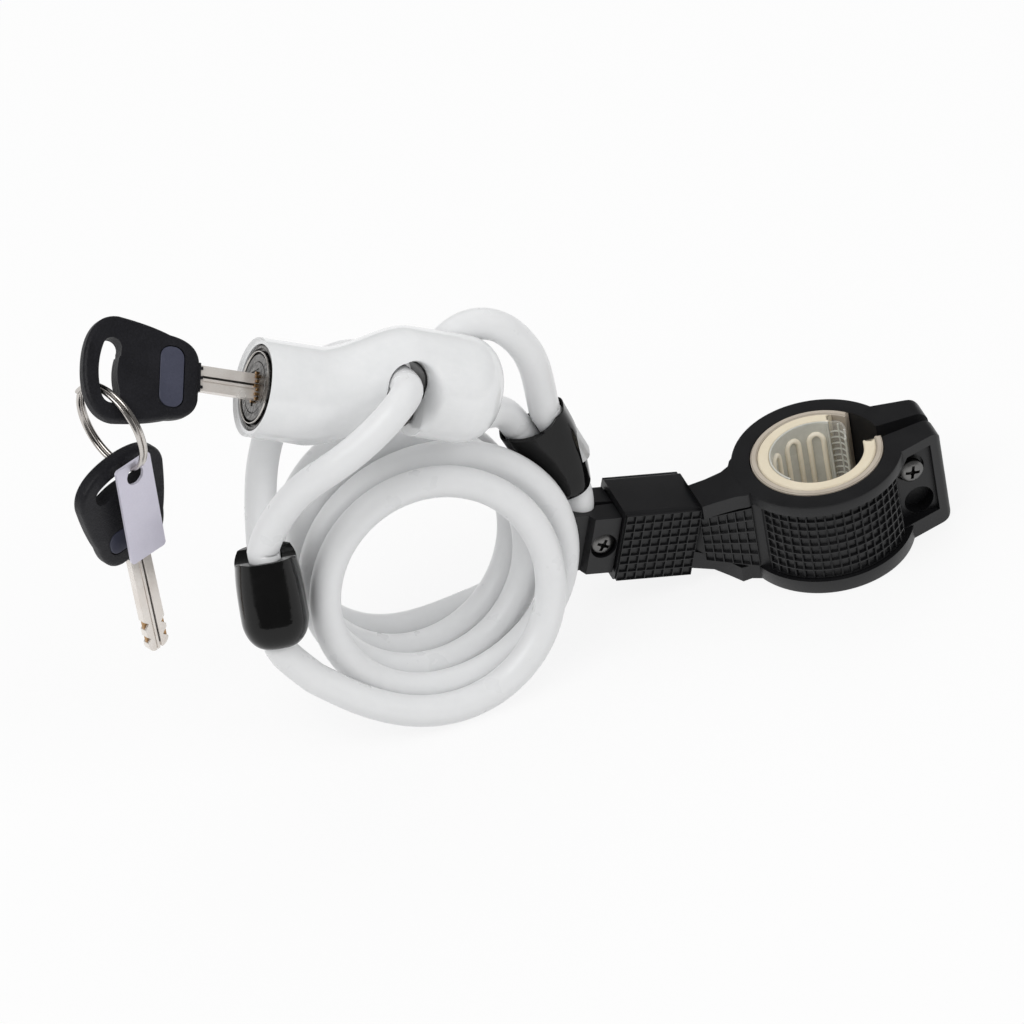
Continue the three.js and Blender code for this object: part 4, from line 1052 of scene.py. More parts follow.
# ---- Boots -----------------------------------------------------------------------------------
@dataclass
class Boot:
    """A glossy moulded boot over a folded cable end, along Z from its foot."""

    name: str
    frame: Matrix
    sections: tuple[tuple[float, float, float, float], ...]
    pocket: Flat
    scallop: tuple[str, float, float]
    pocket_floor: float = 7.7

    def ring(self, z: float, width: float, depth: float, power: float) -> list[Vector]:
        """Return one section, like a rounded rectangle.

        Args:
            z: Its height.
            width: Its size along X.
            depth: Its size along Y.
            power: 2 for an ellipse, and more for squarer corners.

        Returns:
            The section's points.
        """
        def reach(size: float, share: float) -> float:
            """Return how far a corner lies out along one axis."""
            return size / 2 * math.copysign(abs(share) ** (2 / power), share)

        return [
            Vector((reach(width, math.cos(a)), reach(depth, math.sin(a)), z)) for a in full_turn(96)
        ]

    def build(self) -> None:
        """Make the boot, smooth between its sections."""
        rings = []
        powers = [section[3] for section in self.sections]
        for k, p in enumerate(through([Vector(section[:3]) for section in self.sections], 6)):
            low = min(k // 6, len(powers) - 2)
            power = powers[low] + (powers[low + 1] - powers[low]) * (k / 6 - low)
            rings.append(self.ring(*p, power))
        top = self.sections[-1][0]
        axis, radius, drop = self.scallop
        boot = carve(
            loft(self.name + "_boot", rings),
            loft("pocket", [self.ring(z, *self.pocket, 4.0) for z in (self.pocket_floor, top + 1)]),
            rod("scoop", radius, -20.0, 20.0, axis, (0.0, 0.0, top - drop + radius)),
            rod("bore", CABLE_R + 0.2, -1.0, 8.5, "Z"),
        )
        settle(boot, self.frame, BOOT, "root", self.name, edge=0.45)


LEFT_BOOT = Boot(
    name="sleeve_left",
    frame=LEFT_FRAME,
    sections=(
        (0.0, 7.6, 9.6, 2.6), (0.5, 10.6, 12.6, 2.6), (1.7, 13.3, 15.3, 2.6),
        (3.6, 15.5, 17.5, 2.6), (6.0, 16.8, 18.8, 2.6), (9.0, 17.0, 19.0, 2.6),
        (16.5, 16.7, 19.0, 2.6), (23.6, 15.3, 19.0, 2.7),
    ),
    pocket=(8.6, 17.0),
    scallop=("X", 11.8, 1.8),
)
RIGHT_BOOT = Boot(
    name="sleeve_right",
    frame=RIGHT_FRAME,
    sections=(
        (0.0, 8.6, 9.4, 2.4), (0.6, 9.8, 10.5, 2.4), (2.0, 10.9, 11.2, 2.4), (7.0, 14.0, 11.6, 2.7),
        (12.0, 15.9, 11.8, 2.9), (17.0, 17.4, 11.8, 3.0), (RIGHT_RISE.length, 18.0, 11.8, 3.0),
    ),
    pocket=(17.0, 8.6),
    scallop=("Y", 11.16, 2.0),
)


# ---- Keys, split ring and tag ----------------------------------------------------------------
@dataclass
class Key:
    """One key: X along the blade to its tip, Z across the bow, Y through it."""

    name: str
    frame: Matrix
    blade_start: float = -15.0
    blade_end: float = 17.0
    blade_h: float = 6.5
    blade_t: float = 2.0
    bow_length: float = 31.0
    bow_half: float = 13.6
    bow_drop: float = 1.1
    bow_t: float = 4.0
    bow_round: float = 1.15
    neck_half: float = 4.8
    shoulder: float = 10.2
    slot_w: float = 5.0
    slot_at: float = -39.6
    slot_reach: float = 5.9
    slot_drop: float = 1.7
    bend: float = 18.0
    inlay_at: float = -22.5
    inlay: Flat = (6.5, 15.6)
    inlay_d: float = 0.7
    bites: tuple[Point, ...] = ((3.4, 1.5, 1), (7.3, 1.2, 1), (4.4, 0.9, -1), (9.0, 1.3, -1))

    def outline(self) -> list[Flat]:
        """Return the outline of the bow.

        Returns:
            The points, clockwise.
        """
        start, h, wide = self.blade_start, self.bow_half, self.shoulder
        end = start - self.bow_length
        neck, knee = (start, -self.neck_half), (start - 8.0, -wide - 0.6)
        lower = [
            *bezier([neck, (start - 0.4, -wide + 2.2), (start - 2.6, -wide), knee], 18),
            *bezier([knee, (start - 13.5, -h + 0.9), (end + 9, -h)]),
            *bezier([(end + 9, -h), (end + 3, -h), (end, -8), (end, 0)], 24),
        ]
        return [*lower, (end, 0.0), *((x, -y) for x, y in reversed(lower))]

    def slot(self) -> Piece:
        """Return the bent slot that takes the ring, with its step on the inner side.

        Returns:
            The body to cut.
        """
        middle, r = self.slot_at + self.bend, self.slot_w / 2
        half = math.degrees(math.asin(self.slot_reach / self.bend))
        high, low = arc((middle, 0), self.bend, 180 + half, 180 - half, 1)
        outline = [
            *arc((middle, 0), self.bend + r, 180 - half, 180 + half, 24),
            *arc(high, r, 180 + half, 360 + half)[1:-1],
            *arc((middle, 0), self.bend - r, 180 + half, 180 - half, 24),
            *arc(low, r, -half, 180 - half)[1:-1],
        ]
        cut = prism("slot", outline, -self.bow_t, self.bow_t)
        step = block("step", (1.3, 2.0, 2 * self.bow_t), (self.slot_at + r + 0.2, 4.9, 0.0))
        return moved(standing(fuse(cut, step)), shift(0.0, 0.0, -self.slot_drop))

    def oval(self, name: str, wider: float, corner: float, low: float, high: float) -> Piece:
        """Return the inlay's oval, or the pocket that it lies in.

        Args:
            name: The object's name.
            wider: How much wider and longer it is than the inlay.
            corner: The radius of its corners.
            low: Where it starts, through the bow.
            high: Where it ends.

        Returns:
            The plate.
        """
        width, length = self.inlay
        plate = standing(prism(name, rounded(width + wider, length + wider, corner), low, high))
        return moved(plate, shift(self.inlay_at, 0, -self.bow_drop))

    def bow(self) -> None:
        """Make the moulded bow and the ribbed collar round the blade."""
        half, start, thick, high = self.bow_t / 2, self.blade_start, self.blade_t, self.blade_h
        grip = standing(pillow(self.name + "_grip", self.outline(), half, self.bow_round))
        grip = carve(
            moved(grip, shift(0, 0, -self.bow_drop)),
            self.slot(),
            self.oval("pocket", 0.3, 2.9, half - self.inlay_d, half + 1),
            block("tang", (9.3, thick + 0.3, high + 0.3), (start - 4.35, 0, 0)),
        )
        settle(grip, self.frame, GRIP, self.name, self.name + "_bow", edge=0.3, corner=50)
        ribs = [
            block("rib", (1.1, 0.5, 0.7), (start + 0.5, s * 1.2, z))
            for s, z in product(SIDES, (-2.4, 0, 2.4))
        ]
        teeth = fuse(block(self.name + "_collar", (0.6, 3.0, 7.4), (start + 0.1, 0, 0)), *ribs)
        carve(teeth, block("gap", (4.0, thick + 0.04, high + 0.04), (start, 0, 0)))
        settle(teeth, self.frame, GRIP, self.name, self.name + "_bow", edge=0.12, segments=2)

    def blade(self) -> None:
        """Make the blade, grooved along its middle and notched near its tip, with bright bites and
        a dark strip of painted shade in the groove.
        """
        h, half, tip = self.blade_h / 2, self.blade_t / 2, 2.4
        start, end = self.blade_start - 8.7, self.blade_end
        outline = [
            (start, -h), *arc((end - tip, tip - h), tip, -90, 0, 10),
            *arc((end - tip, h - tip), tip, 0, 90, 10), (start, h),
        ]
        blade = standing(prism(self.name + "_steel", outline, -half, half))
        cuts = []
        for side in SIDES:
            cuts.append(block("groove", (34.0, 1.2, 0.6), (end - 14.0, side * half, 0.35)))
            cuts.append(block("line", (34.0, 0.7, 0.3), (end - 14.0, side * half, -0.8)))
        facets = []
        for k, (back, depth, sign) in enumerate(self.bites):
            x, size = end - back, 1.5 + depth
            turn = shift(x, 0.0, sign * (h + 0.6)) @ degrees_about(45, "Y")
            cuts.append(moved(block(f"bite_{k}", (size, 4.0, size)), turn))
            reach = size / math.sqrt(2) - 0.6
            corners = ((-reach, 0.12), (0.0, reach + 0.1), (reach, 0.12))
            corners = [(x + along, sign * (h - deep)) for along, deep in corners]
            facets.append(standing(prism(f"facet_{k}", corners, -0.4, 0.4)))
        carve(blade, *cuts)
        settle(blade, self.frame, NICKEL, self.name, self.name + "_blade", edge=0.07, segments=2)
        for facet in facets:
            settle(facet, self.frame, BRASS, self.name)
        # A dark steel strip in the middle groove paints the groove's shade.
        length = end - 1.6 - start
        painted_shade = block(self.name + "_groove", (length, 1.3, 0.58), (start + length / 2, 0.0, 0.35))
        settle(painted_shade, self.frame, CORE, self.name, self.name + "_blade")

    def build(self) -> None:
        """Make the key's pieces, the inlay last."""
        self.bow()
        self.blade()
        half = self.bow_t / 2
        plate = self.oval(self.name + "_oval", -0.1, 2.85, half - self.inlay_d + 0.1, half + 0.05)
        settle(plate, self.frame, INLAY, self.name, self.name + "_inlay", edge=0.25)


@dataclass
class KeyRing:
    """The split ring under the first key, with the second key and the tag on it."""

    wire_r: float = 0.58
    pitch: float = 1.3
    turns: int = 2
    ring_top: Point = (-39.6, 0.0, -6.2)
    hang_at: float = 42.3
    key_turn: float = 88.0
    tag_size: Point = (11.2, 29.6, 0.8)
    tag_drop: float = 12.7
    tag_hole: float = 2.6
    tag_rim: float = 1.6
    tag_angle: float = 30.0

    def frame(self) -> Matrix:
        """Return the ring's frame: X its axis, Y the way through the keys, Z up.

        Returns:
            The frame.
        """
        way = KEY_A_FRAME.to_3x3() @ Vector((0.0, 1.0, 0.0))
        way.z = 0.0
        top = KEY_A_FRAME @ Vector(self.ring_top)
        return placed(top - Z_AXIS * RING_R, way.normalized().cross(Z_AXIS), Z_AXIS)

    def second_key(self) -> Matrix:
        """Return the frame of the key that hangs from the ring."""
        drop = shift(0.0, 0.0, -RING_R - WIRE_HALF) @ degrees_about(self.key_turn, "Y")
        return self.frame() @ drop @ shift(self.hang_at, 0.0, 0.0)

    def wire_ring(self) -> None:
        """Wind the ring."""
        per_turn = 72
        line = []
        for i in range(self.turns * per_turn + 1):
            a = 2 * math.pi * i / per_turn + 0.6
            line.append(spun(self.pitch * (i / per_turn - self.turns / 2), RING_R, a, "X"))
        ring = tube("key_ring", line, self.wire_r, 16)
        settle(ring, self.frame(), WIRE, "ring", "split_ring", corner=60)

    def tag(self) -> None:
        """Make the blank tag."""
        width, length, thick = self.tag_size
        plate = prism("blank_tag", rounded(width, length, 1.0), -thick / 2, thick / 2)
        y = length / 2 - self.tag_hole - self.tag_rim
        hole = rod("hole", self.tag_hole, -2, 2, "Z", (0, y, 0))
        a = math.radians(self.tag_angle)
        place = shift(0.0, -RING_R * math.sin(a), -RING_R * math.cos(a) - self.tag_drop)
        plate = standing(carve(plate, hole))
        settle(plate, self.frame() @ place, PLATE, "tag", "number_tag", edge=0.18, segments=2)

    def build(self) -> None:
        """Make the ring and all that hangs on it."""
        Key("key_a", KEY_A_FRAME).build()
        Key("key_b", self.second_key()).build()
        self.wire_ring()
        self.tag()


# ---- Frame clamp -----------------------------------------------------------------------------
def cross_screw(name: str, head_r: float, length: float, cross: float) -> Piece:
    """Make a cross-head screw along Y, with the top of its head at y = 0.

    Args:
        name: The object's name.
        head_r: The radius of its head.
        length: Its length, head included.
        cross: The reach of an arm of its cross.

    Returns:
        The screw.
    """
    head_h, shank_r = 2.2, 1.6
    crown = [
        (0.0, 0.0), (0.0, head_r * 0.45), (0.25, head_r * 0.8), (0.75, head_r), (head_h, head_r),
        (head_h, shank_r), (length, shank_r), (length, 0.0),
    ]
    sizes = ((2 * cross, 2.0, 0.8), (0.8, 2.0, 2 * cross))
    arms = [block("arm", size, (0.0, 0.5, 0.0)) for size in sizes]
    centre = moved(block("centre", (1.5, 3.2, 1.5), (0.0, 0.3, 0.0)), degrees_about(45, "Y"))
    return carve(turned(name, crown, "Y", 64), *arms, centre)


@dataclass
class FrameClamp:
    """The clamp on the frame tube, with its ears and its neck."""

    height: float = 28.0
    bore_r: float = 17.1
    flange_r: float = 21.8
    flange_h: float = 3.0
    band_r: float = 19.9
    ear_root: float = 14.0
    ear_reach: float = 30.5
    ear_root_half: float = 11.4
    ear_tip_half: float = 8.0
    ear_corner: float = 3.0
    screw_x: float = 21.3
    screw_z: float = 19.5
    spare_x: float = 22.6
    spare_z: float = 8.6
    hole_r: float = 3.9
    thread_r: float = 1.85
    pocket_floor: float = 7.0
    nut_seat: float = 6.4
    collar_half: float = 10.45
    neck_start: float = -34.0
    neck_front: Flat = (0.9, -0.52)
    neck_back: Flat = (8.6, -0.36)
    neck_lip: float = 1.3

    def ring(self) -> Piece:
        """Return the ring with a flange at its foot and at its top.

        Returns:
            The body.
        """
        r, f, top, band = self.flange_r, self.flange_h, self.height, self.band_r
        rim = ((0.0, 0.6), (0.18, 0.18), (0.6, 0.0))
        profile = [
            (0.0, self.bore_r), *((x, r - inset) for x, inset in rim), (f + 1, r), (f + 1, band),
            (top - f, band), (top - f, r), *((top - x, r - inset) for x, inset in reversed(rim)),
            (top, self.bore_r),
        ]
        return turned("clamp_ring", profile, "Z", 160)

    def ears(self) -> Piece:
        """Return the two ears as one block.

        Returns:
            The body.
        """
        tip = arc((self.ear_reach - 2.0, 2.0 - self.ear_tip_half), 2.0, -82, 0, 8)
        front = [(self.ear_root, -self.ear_root_half), (18.0, -10.7), *tip]
        return prism("ears", front + [(x, -y) for x, y in reversed(front)], 0.0, self.height)

    def neck_side(self, side: int, x: float) -> float:
        """Return where the neck's front (-1) or back (1) face lies beside the clamp's middle."""
        near, slope = self.neck_front if side < 0 else self.neck_back
        return near + slope * (x - self.neck_start)

    def neck(self) -> list[Piece]:
        """Return the neck between the ring and the collar, with its flanges and its tongue.

        Returns:
            The bodies to join to the ring.
        """
        there = CLAMP_FRAME.inverted() @ COLLAR_FRAME
        end, top, lip = self.collar_half, self.height, self.neck_lip
        front, back = ({x: self.neck_side(s, x) for x in (-32, -28, -24, -17.2)} for s in SIDES)

        def bar(name: str, in_collar: int, *rows: tuple[float, ...]) -> Piece:
            """Join rectangles to a bar.

            Args:
                name: The object's name.
                in_collar: How many of them, from the first on, are in the collar's frame.
                rows: The place along X, the front, the back, the foot and the top of each.

            Returns:
                The bar.
            """
            rings = []
            for k, (x, near, far, low, high) in enumerate(rows):
                place = there if k < in_collar else Matrix()
                corners = ((near, low), (far, low), (far, high), (near, high))
                rings.append([place @ Vector((x, y, z)) for y, z in corners])
            return loft(name, rings)

        return [
            bar("neck", 1, (end - 0.2, -6.6, 4.6, -5.2, 6.4),
                (-32, front[-32], back[-32], 5.4, 21.6),
                (-17.2, front[-17.2], back[-17.2], 2.0, 25.0)),
            bar("top_flange", 1, (end - 0.5, -7.9, 4.4, 6.0, 9.9),
                (-32, front[-32] - lip, back[-32] + 0.6, 20.6, 24.6),
                (-28, front[-28] - lip, back[-28] + 0.2, 22.2, 26.2),
                (-24, front[-24] - lip, back[-24] + 0.6, 23.6, 27.6),
                (-21.6, front[-24] - lip - 1.1, back[-24] + 1.6, 24.0, top - 0.2),
                (-20.6, front[-24] - lip - 0.9, back[-24] + 3.2, 24.0, top),
                (-17.2, -4.0, 11.0, 24.0, top)),
            bar("foot_flange", 1, (end - 0.5, -7.4, 4.4, -8.6, -3.6),
                (-31, 0.3, back[-32], 2.7, 7.4),
                (-28, -1.9, back[-28] + 0.6, 1.1, 5.8), (-25.4, -4.8, back[-24] + 1.0, 0.1, 4.5),
                (-23.0, -4.6, back[-24] + 1.6, 0.0, 4.0), (-17.2, -8.0, 11.0, 0.0, 4.0)),
            bar("tongue", 2, *((x, -2.1, 2.1, -4.6, 4.6) for x in (1.0, end + 2.0))),
        ]

    def drill(self, name: str, radius: float, depth: float, x: float, z: float) -> Piece:
        """Return a bore through the ears' front, down to a depth."""
        return rod(name, radius, -20.0, depth, "Y", (x, 0.0, z))

    def cuts(self) -> list[Piece]:
        """Return the bore, the slot between the ears, the pockets for the screw and the corners.

        Returns:
            The bodies to cut.
        """
        top, floor, reach, r = self.height, self.pocket_floor, self.ear_reach, self.ear_corner
        x, z = self.screw_x, self.screw_z
        slot = [(10.0, -2.8), (reach + 2, -1.25), (reach + 2, 1.25), (10.0, 2.8)]
        pocket = [(16.6, 4.6), (27.2, 4.6), (27.2, 25.3), (20.2, 25.3), (16.6, 20.5)]
        cuts = [
            rod("bore", self.bore_r, -1.0, top + 1, "Z", sides=160),
            prism("slot", slot, -1.0, top + 1),
            standing(prism("pocket", pocket, floor, 20.0)),
            block("nut_pocket", (6.6, 10.0, 6.6), (x, self.nut_seat + 5.0, z)),
            self.drill("spare", self.hole_r, 3.6 - floor, self.spare_x, self.spare_z),
            self.drill("seat", self.hole_r, 1.1 - floor, x, z),
            self.drill("hole", self.thread_r, 20.0, x, z),
        ]
        curve = arc((reach - r, -r), r, 90, 0, 8)
        curve = [(reach - r, 2.0), *curve, (reach + 3, -r), (reach + 3, 2.0)]
        for level, sign in ((top, 1), (0.0, -1)):
            outline = [(u, level + sign * v) for u, v in curve]
            cuts.append(standing(prism("corner", outline, -20.0, 20.0)))
        return cuts

    def around(self, start: float, end: float) -> Patch:
        """Return the band's surface between two angles.

        Args:
            start: The angle at its left end.
            end: The angle at its right end.

        Returns:
            The point at a share across and a share up.
        """
        low = self.flange_h + 1.3
        rise = self.height - self.flange_h - 0.4 - low
        first, turn = math.radians(start), math.radians(end - start)
        return lambda u, v: spun(low + rise * v, self.band_r, first + turn * u, "Z")

    def neck_face(self, side: int) -> Patch:
        """Return one face of the neck's core.

        Args:
            side: -1 for the front, 1 for the back.

        Returns:
            The point at a share across and a share up.
        """
        def point(u: float, v: float) -> Vector:
            """Return a point of the face.

            Args:
                u: The share across.
                v: The share up.

            Returns:
                The point.
            """
            share = u if side < 0 else 1 - u
            x = self.neck_start + 1.4 + 12.0 * share
            low, high = 7.0 - 2.4 * share, 20.2 + 3.2 * share
            return Vector((x, self.neck_side(side, x), low + (high - low) * v))

        return point

    def body(self) -> None:
        """Make the moulded clamp and the squares on it."""
        clamp = carve(fuse(self.ring(), self.ears(), *self.neck()), *self.cuts())
        settle(clamp, CLAMP_FRAME, BLACK, "bracket", "frame_clamp", edge=0.3, segments=2, corner=40)
        for name, patch, cols, rows in (
            ("front_grip", self.around(-154, -41), 17, 8),
            ("back_grip", self.around(41, 154), 17, 8),
            ("neck_front_grip", self.neck_face(-1), 6, 5),
            ("neck_back_grip", self.neck_face(1), 6, 5),
        ):
            settle(waffle(name, patch, cols, rows), CLAMP_FRAME, BLACK, "bracket", "frame_clamp")

    def fittings(self) -> None:
        """Make the clamp screw and its nut."""
        screw = cross_screw("clamp_cross_screw", 3.1, 15.6, 1.9)
        place = shift(self.screw_x, -self.pocket_floor - 2.5, self.screw_z) @ degrees_about(12, "Y")
        settle(screw, CLAMP_FRAME @ place, SCREW, "bracket", "clamp_screw", edge=0.08, segments=2)
        nut = carve(block("square_nut", (6, 3, 6)), rod("thread", self.thread_r, -4, 4, "Y"))
        place = shift(self.screw_x, self.nut_seat + 1.8, self.screw_z)
        settle(nut, CLAMP_FRAME @ place, SCREW, "bracket", "clamp_nut", edge=0.2, segments=2)

    def build(self) -> None:
        """Make the clamp's pieces."""
        self.body()
        self.fittings()


@dataclass
class Liners:
    """The two open rings in the bore, cut off ragged, with a ribbed tail that curls inwards."""

    outer_r: float = 16.8
    outer_t: float = 1.7
    inner_r: float = 15.0
    inner_t: float = 3.0
    low: float = 0.3
    high: float = 28.4
    chamfer: float = 0.35
    tail_turn: Flat = (58.0, 26.0)
    tail_fall: float = 1.6
    rungs: int = 13
    rung_pitch: float = 1.9
    rail_steps: tuple[int, ...] = (0, 9, 16, 22)
    arch_turns: tuple[float, ...] = (72.0, 104.0, 138.0)
    arch_half: float = 9.0
    arch_rise: float = 22.6
    arch_wire: float = 0.7
    ragged: tuple[float, ...] = (0.0, 2.6, 0.8, 3.4, 1.2, 4.2, 2.0)

    def wall(self, name: str, outer: float, thick: float, turn: Flat, ragged: float = 0.0) -> Piece:
        """Return an open ring.

        Args:
            name: The object's name.
            outer: Its outer radius.
            thick: Its thickness.
            turn: The angles at which it starts and ends.
            ragged: How ragged its ends are, in degrees.

        Returns:
            The ring.
        """
        steps, across = 96, len(self.ragged) - 1
        start, end = turn
        inner, brink = outer - thick, self.high - self.chamfer
        rings = []
        for k, share in enumerate(shares(steps)):
            angle = start + (end - start) * share
            tear = ragged * ((k == 0) - (k == steps))
            ring = []
            for z, edge, rim in ((self.low, 0.0, outer), (self.high, self.chamfer, inner)):
                row = [
                    spun(z, inner + edge + (thick - 2 * edge) * i / across,
                         math.radians(angle + tear * self.ragged[i]), "Z")
                    for i in range(across + 1)
                ]
                ring += row if z == self.low else reversed(row)
                ring.append(spun(brink, rim, math.radians(angle), "Z"))
            rings.append(ring)
        return loft(name, rings)

    def tail(self) -> None:
        """Make the clear strip that curls in from the outer liner's end, and its ladder of ribs."""
        steps, (start, end) = self.rail_steps[-1], self.tail_turn
        line, tops = [], []
        for share in shares(steps):
            bulge = 2.0 * math.sin(math.pi * share)
            radius = self.inner_r - self.inner_t + bulge - self.tail_fall * share
            line.append(spun(0.0, radius, math.radians(start + (end - start) * share), "Z"))
            tops.append(self.high - self.tail_fall * share ** 3)
        rings = []
        for k, (p, top) in enumerate(zip(line, tops)):
            ahead = (line[min(k + 1, steps)] - line[max(k - 1, 0)]).normalized()
            side, up = ahead.cross(Z_AXIS) * 0.25, Z_AXIS * (top - 0.9)
            rings.append([p - side, p + side, p + side + up, p - side + up])
        strip = moved(loft("ribbed_tail", rings), shift(0, 0, self.low))
        settle(strip, CLAMP_FRAME, CLEAR, "bracket", "liner_outer")
        skin = [p * 0.985 for p in line]
        rungs = [
            tube("rung", [p + Z_AXIS * (2.0 + self.rung_pitch * k) for p in skin], 0.24, 10)
            for k in range(self.rungs)
        ]
        rails = [
            tube("rail", [skin[k] + Z_AXIS * z for z in (0.6, tops[k] - 1.2)], 0.26, 10)
            for k in self.rail_steps
        ]
        settle(fuse(*rungs, *rails), CLAMP_FRAME, FROST, "bracket", "liner_outer")

    def reliefs(self) -> None:
        """Make the grey skin on the far inner wall, and the arches that stand on it, in a lighter
        copy of the cream as painted light against their shade.
        """
        r = self.inner_r - self.inner_t
        skin = self.wall("inner_skin", r - 0.02, 0.3, (54, 215))
        settle(skin, CLAMP_FRAME, FROST, "bracket", "liner_inner")
        half, rise = self.arch_half, self.arch_rise
        side = [(half, z) for z in (rise, 14.0, 8.0, 2.0)]
        crown = [(-half * math.cos(a), rise + 2.2 * math.sin(a)) for a in full_turn(24)[1:12]]
        for k, centre in enumerate(self.arch_turns):
            course = [*((-turn, z) for turn, z in reversed(side)), *crown, *side]
            line = [spun(z, r - 0.35, math.radians(centre + turn), "Z") for turn, z in course]
            arch = tube(f"arch_{k + 1}", line, self.arch_wire, 12)
            # The arches wear the lighter cream, painted light.
            settle(arch, CLAMP_FRAME, RELIEF_PAINTED_LIGHT, "bracket", "liner_inner")

    def build(self) -> None:
        """Make the liners."""
        outer = self.wall("outer_liner", self.outer_r, self.outer_t, (40, 354), 0.4)
        settle(outer, CLAMP_FRAME, HAZE, "bracket", "liner_outer")
        inner = self.wall("cream_liner", self.inner_r, self.inner_t, (54, 352), 1.2)
        settle(inner, CLAMP_FRAME, CREAM, "bracket", "liner_inner")
        self.tail()
        self.reliefs()


# ---- Collar and cable clip -------------------------------------------------------------------
@dataclass
class CollarClip:
    """The collar of the bracket, and the split clip on the cable that plugs into it."""

    length: float = 20.9
    depth: float = 16.5
    height: float = 20.2
    wall: float = 1.9
    clip_depth: float = 14.2
    clip_height: float = 16.4
    clip_thick: float = 7.4
    thin_half: float = 5.0
    slot_left: float = 2.4
    slot_right: float = 0.9
    tongue_half: float = 2.1
    screw_in: float = 3.9
    seat: float = 0.3
    clip_point: Point = (13.7, -39.9, 22.2)

    def collar(self) -> None:
        """Make the collar, with squares on its front and back."""
        half, wall = self.length / 2, 2 * self.wall
        collar = prism("collar", rounded(self.height, self.depth, 1.2), -half, half)
        mouth = rounded(self.height - wall, self.depth - wall, 0.6)
        bore = prism("bore", mouth, -half - 1, half + 1)
        along = degrees_about(90, "Y")
        collar = carve(moved(collar, along), moved(bore, along))
        settle(collar, COLLAR_FRAME, BLACK, "bracket", "grip_collar", edge=0.55)
        for side in SIDES:
            def face(u: float, v: float, side: int = side) -> Vector:
                """Return the point at a share across and a share up."""
                x = (u - 0.5) * (self.length - 0.6) * -side
                return Vector((x, side * self.depth / 2, (v - 0.5) * (self.height - 1.0)))

            grip = waffle("collar_grip", face, 8, 8, 0.05, 0.75)
            settle(grip, COLLAR_FRAME, BLACK, "bracket", "grip_collar")

    def jaw(self, name: str, side: int) -> None:
        """Make one jaw of the clip.

        Args:
            name: The CAD node's name.
            side: -1 for the front, 1 for the back.
        """
        inverse = COLLAR_FRAME.inverted()
        left = (inverse @ Vector(self.clip_point)).x - CABLE_R + 1.2
        mouth, shank, half = -self.length / 2, self.length / 2 - 1, self.clip_depth / 2
        left_half = self.thin_half if side < 0 else half
        inner, tall = (size / 2 - self.wall - self.seat for size in (self.depth, self.height))
        edge, tongue, far = mouth - self.seat, self.tongue_half + self.seat, mouth - self.clip_thick
        outline = [
            (left, self.slot_left / 2), (mouth, self.slot_right / 2), (mouth + 1, tongue),
            (shank, tongue), (shank, inner), (edge, inner), (edge, half), (far, half),
            (far - 1, left_half), (left, left_half),
        ]
        outline = [(x, side * y) for x, y in outline]
        cable = [inverse @ p for p in through(CoilRoute().stops(), 4)[-52:] if p.z < 46]
        x, high = mouth - self.screw_in, self.clip_height / 2
        if side > 0:
            pocket = block("nut_seat", (5.6, 3.0, 5.6), (x, half - 0.4, 0.0))
        else:
            pocket = rod("seat", 3.5, -14, -half + 2.4, "Y", (x, 0, 0))
        jaw = carve(
            prism(name + "_body", outline, -high, high),
            *(block("trim", (60, 60, 20), (30 + edge, 0, s * (tall + 10))) for s in SIDES),
            tube("groove", cable, CABLE_R + self.seat, 48),
            rod("hole", 1.85, -14, 14, "Y", (x, 0, 0)),
            pocket,
        )
        settle(jaw, COLLAR_FRAME, BLACK, "root", name, edge=0.35, segments=2, corner=40)

    def build(self) -> None:
        """Make the collar, the jaws and their screw."""
        self.collar()
        self.jaw("clip_jaw_front", -1)
        self.jaw("clip_jaw_rear", 1)
        screw = cross_screw("clip_cross_screw", 3.0, self.clip_depth - 1.2, 1.7)
        place = shift(-self.length / 2 - self.screw_in, -self.clip_depth / 2 + 0.25, 0.0)
        place = COLLAR_FRAME @ place @ degrees_about(20, "Y")
        settle(screw, place, SCREW, "root", "clip_screw", edge=0.08, segments=2)


# ---- Stage -----------------------------------------------------------------------------------
@dataclass(frozen=True)
class Lamp:
    """A soft square lamp that looks at the middle of the part."""

    name: str
    place: Point
    size: float
    power: float
    in_gloss: bool = False

    def build(self) -> None:
        """Hang the lamp."""
        data = bpy.data.lights.new(self.name, "AREA")
        data.shape = "SQUARE"
        data.size = self.size
        data.energy = self.power
        lamp = link(self.name, data)
        lamp.location = self.place
        lamp.visible_glossy = self.in_gloss
        lamp.rotation_mode = "QUATERNION"
        lamp.rotation_quaternion = (-Vector(self.place)).to_track_quat("-Z", "Y")


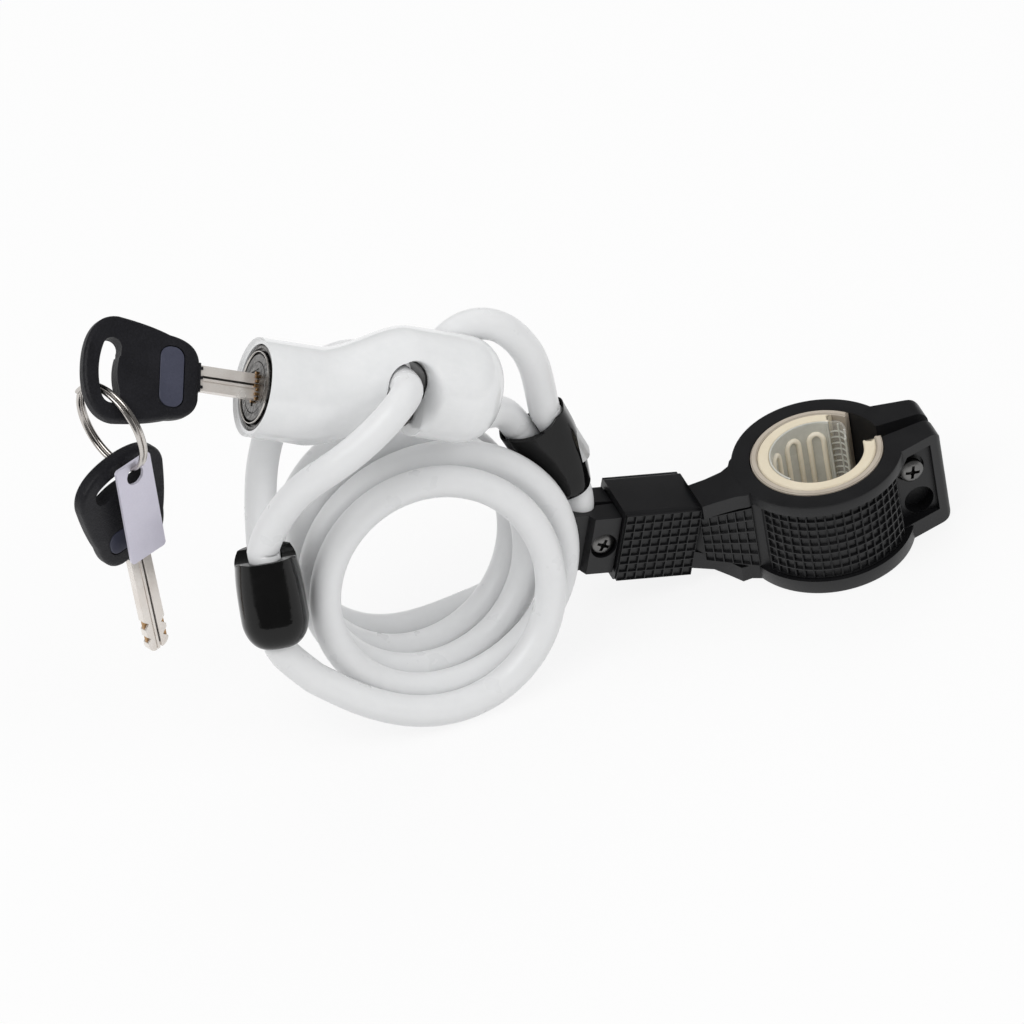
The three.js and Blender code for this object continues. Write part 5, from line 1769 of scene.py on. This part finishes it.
@dataclass
class Studio:
    """The pale floor, the pale surround and the lamps."""

    floor_half: float = 3.0
    pale: float = 0.86
    fill: float = 0.54
    gloss: float = 0.16
    lamps: tuple[Lamp, ...] = (
        Lamp("key_lamp", (-0.7, -0.6, 1.3), 1.0, 9.0, True),
        Lamp("side_lamp", (1.2, -0.5, 0.9), 1.0, 5.0),
        Lamp("back_lamp", (0.1, 1.2, 1.0), 1.2, 5.0),
    )

    def rays(self, graph: Graph, *kinds: str) -> list[Flow]:
        """Return, for each kind, 1 for rays of that kind."""
        return [graph.node("ShaderNodeLightPath", {}, f"Is {kind} Ray") for kind in kinds]

    def floor(self) -> None:
        """Lay the floor, white to the eye and with the part's shadow."""
        half = self.floor_half
        mesh = bpy.data.meshes.new("floor")
        corners = [(x * half, y * half, 0.0) for x, y in ((-1, -1), (1, -1), (1, 1), (-1, 1))]
        mesh.from_pydata(corners, [], [(0, 1, 2, 3)])
        graph = Graph(bpy.data.materials.new("floor"))
        graph.set("Principled BSDF", Base_Color=(*grey(self.pale), 1.0), Roughness=0.8,
                  Specular_IOR_Level=0.0)
        eye, mirror, glass = self.rays(graph, "Camera", "Glossy", "Transmission")
        glow = graph.node("ShaderNodeEmission", {"Color": (1.0, 1.0, 1.0, 1.0), "Strength": 1.0})
        plain = Flow(graph, graph.tree.nodes["Principled BSDF"].outputs[0])
        seen = (eye + mirror + glass).over(0.0, 1.0) * self.pale
        both = graph.node("ShaderNodeMixShader", {0: seen, 1: plain, 2: glow})
        graph.set("Material Output", Surface=both)
        mesh.materials.append(graph.owner)
        link("floor", mesh)

    def surround(self) -> None:
        """Make the pale surround, white to the eye and dim in gloss."""
        world = bpy.data.worlds.new("surround")
        bpy.context.scene.world = world
        graph = Graph(world)
        eye, mirror = self.rays(graph, "Camera", "Glossy")
        strength = eye * (1.0 - self.fill) + mirror * (self.gloss - self.fill) + self.fill
        graph.set("Background", Color=(1.0, 1.0, 1.0, 1.0), Strength=strength)

    def build(self) -> None:
        """Set the whole stage."""
        self.floor()
        self.surround()
        for lamp in self.lamps:
            lamp.build()
        bpy.context.scene.view_settings.view_transform = "Standard"


# ---- Whole part ------------------------------------------------------------------------------
CARRIED: dict[str, Finish] = {
    "crimp_ferrule_left": CRIMP, "crimp_ferrule_right": CRIMP, "core_retainer_pin": CORE,
    "drive_cam": CAST, "lock_bolt": CORE, "bolt_pin": CORE,
    **{f"wafer_{i}": BRASS for i in range(1, 6)},
}


def paint(name: str, finish: Finish) -> None:
    """Give a CAD node that stays one finish through its slots.

    Args:
        name: The node's name.
        finish: What it wears.
    """
    node = frame["nodes"][name]
    if not node.data.materials:
        node.data.materials.append(made(finish))
    for holder in node.material_slots:
        holder.material = made(finish)
    LOG.info("%s keeps its solid", name)


def main() -> None:
    """Build the camera, the cables, the dressed pieces and the stage."""
    logging.basicConfig(level=logging.INFO)
    Viewpoint().build()
    assemblies = (CableSet(), LockHead(), LEFT_BOOT, RIGHT_BOOT, KeyRing(), FrameClamp(), Liners(),
                  CollarClip())
    for assembly in assemblies:
        assembly.build()
    for name, finish in CARRIED.items():
        paint(name, finish)
    Studio().build()


if __name__ == "__main__":
    main()
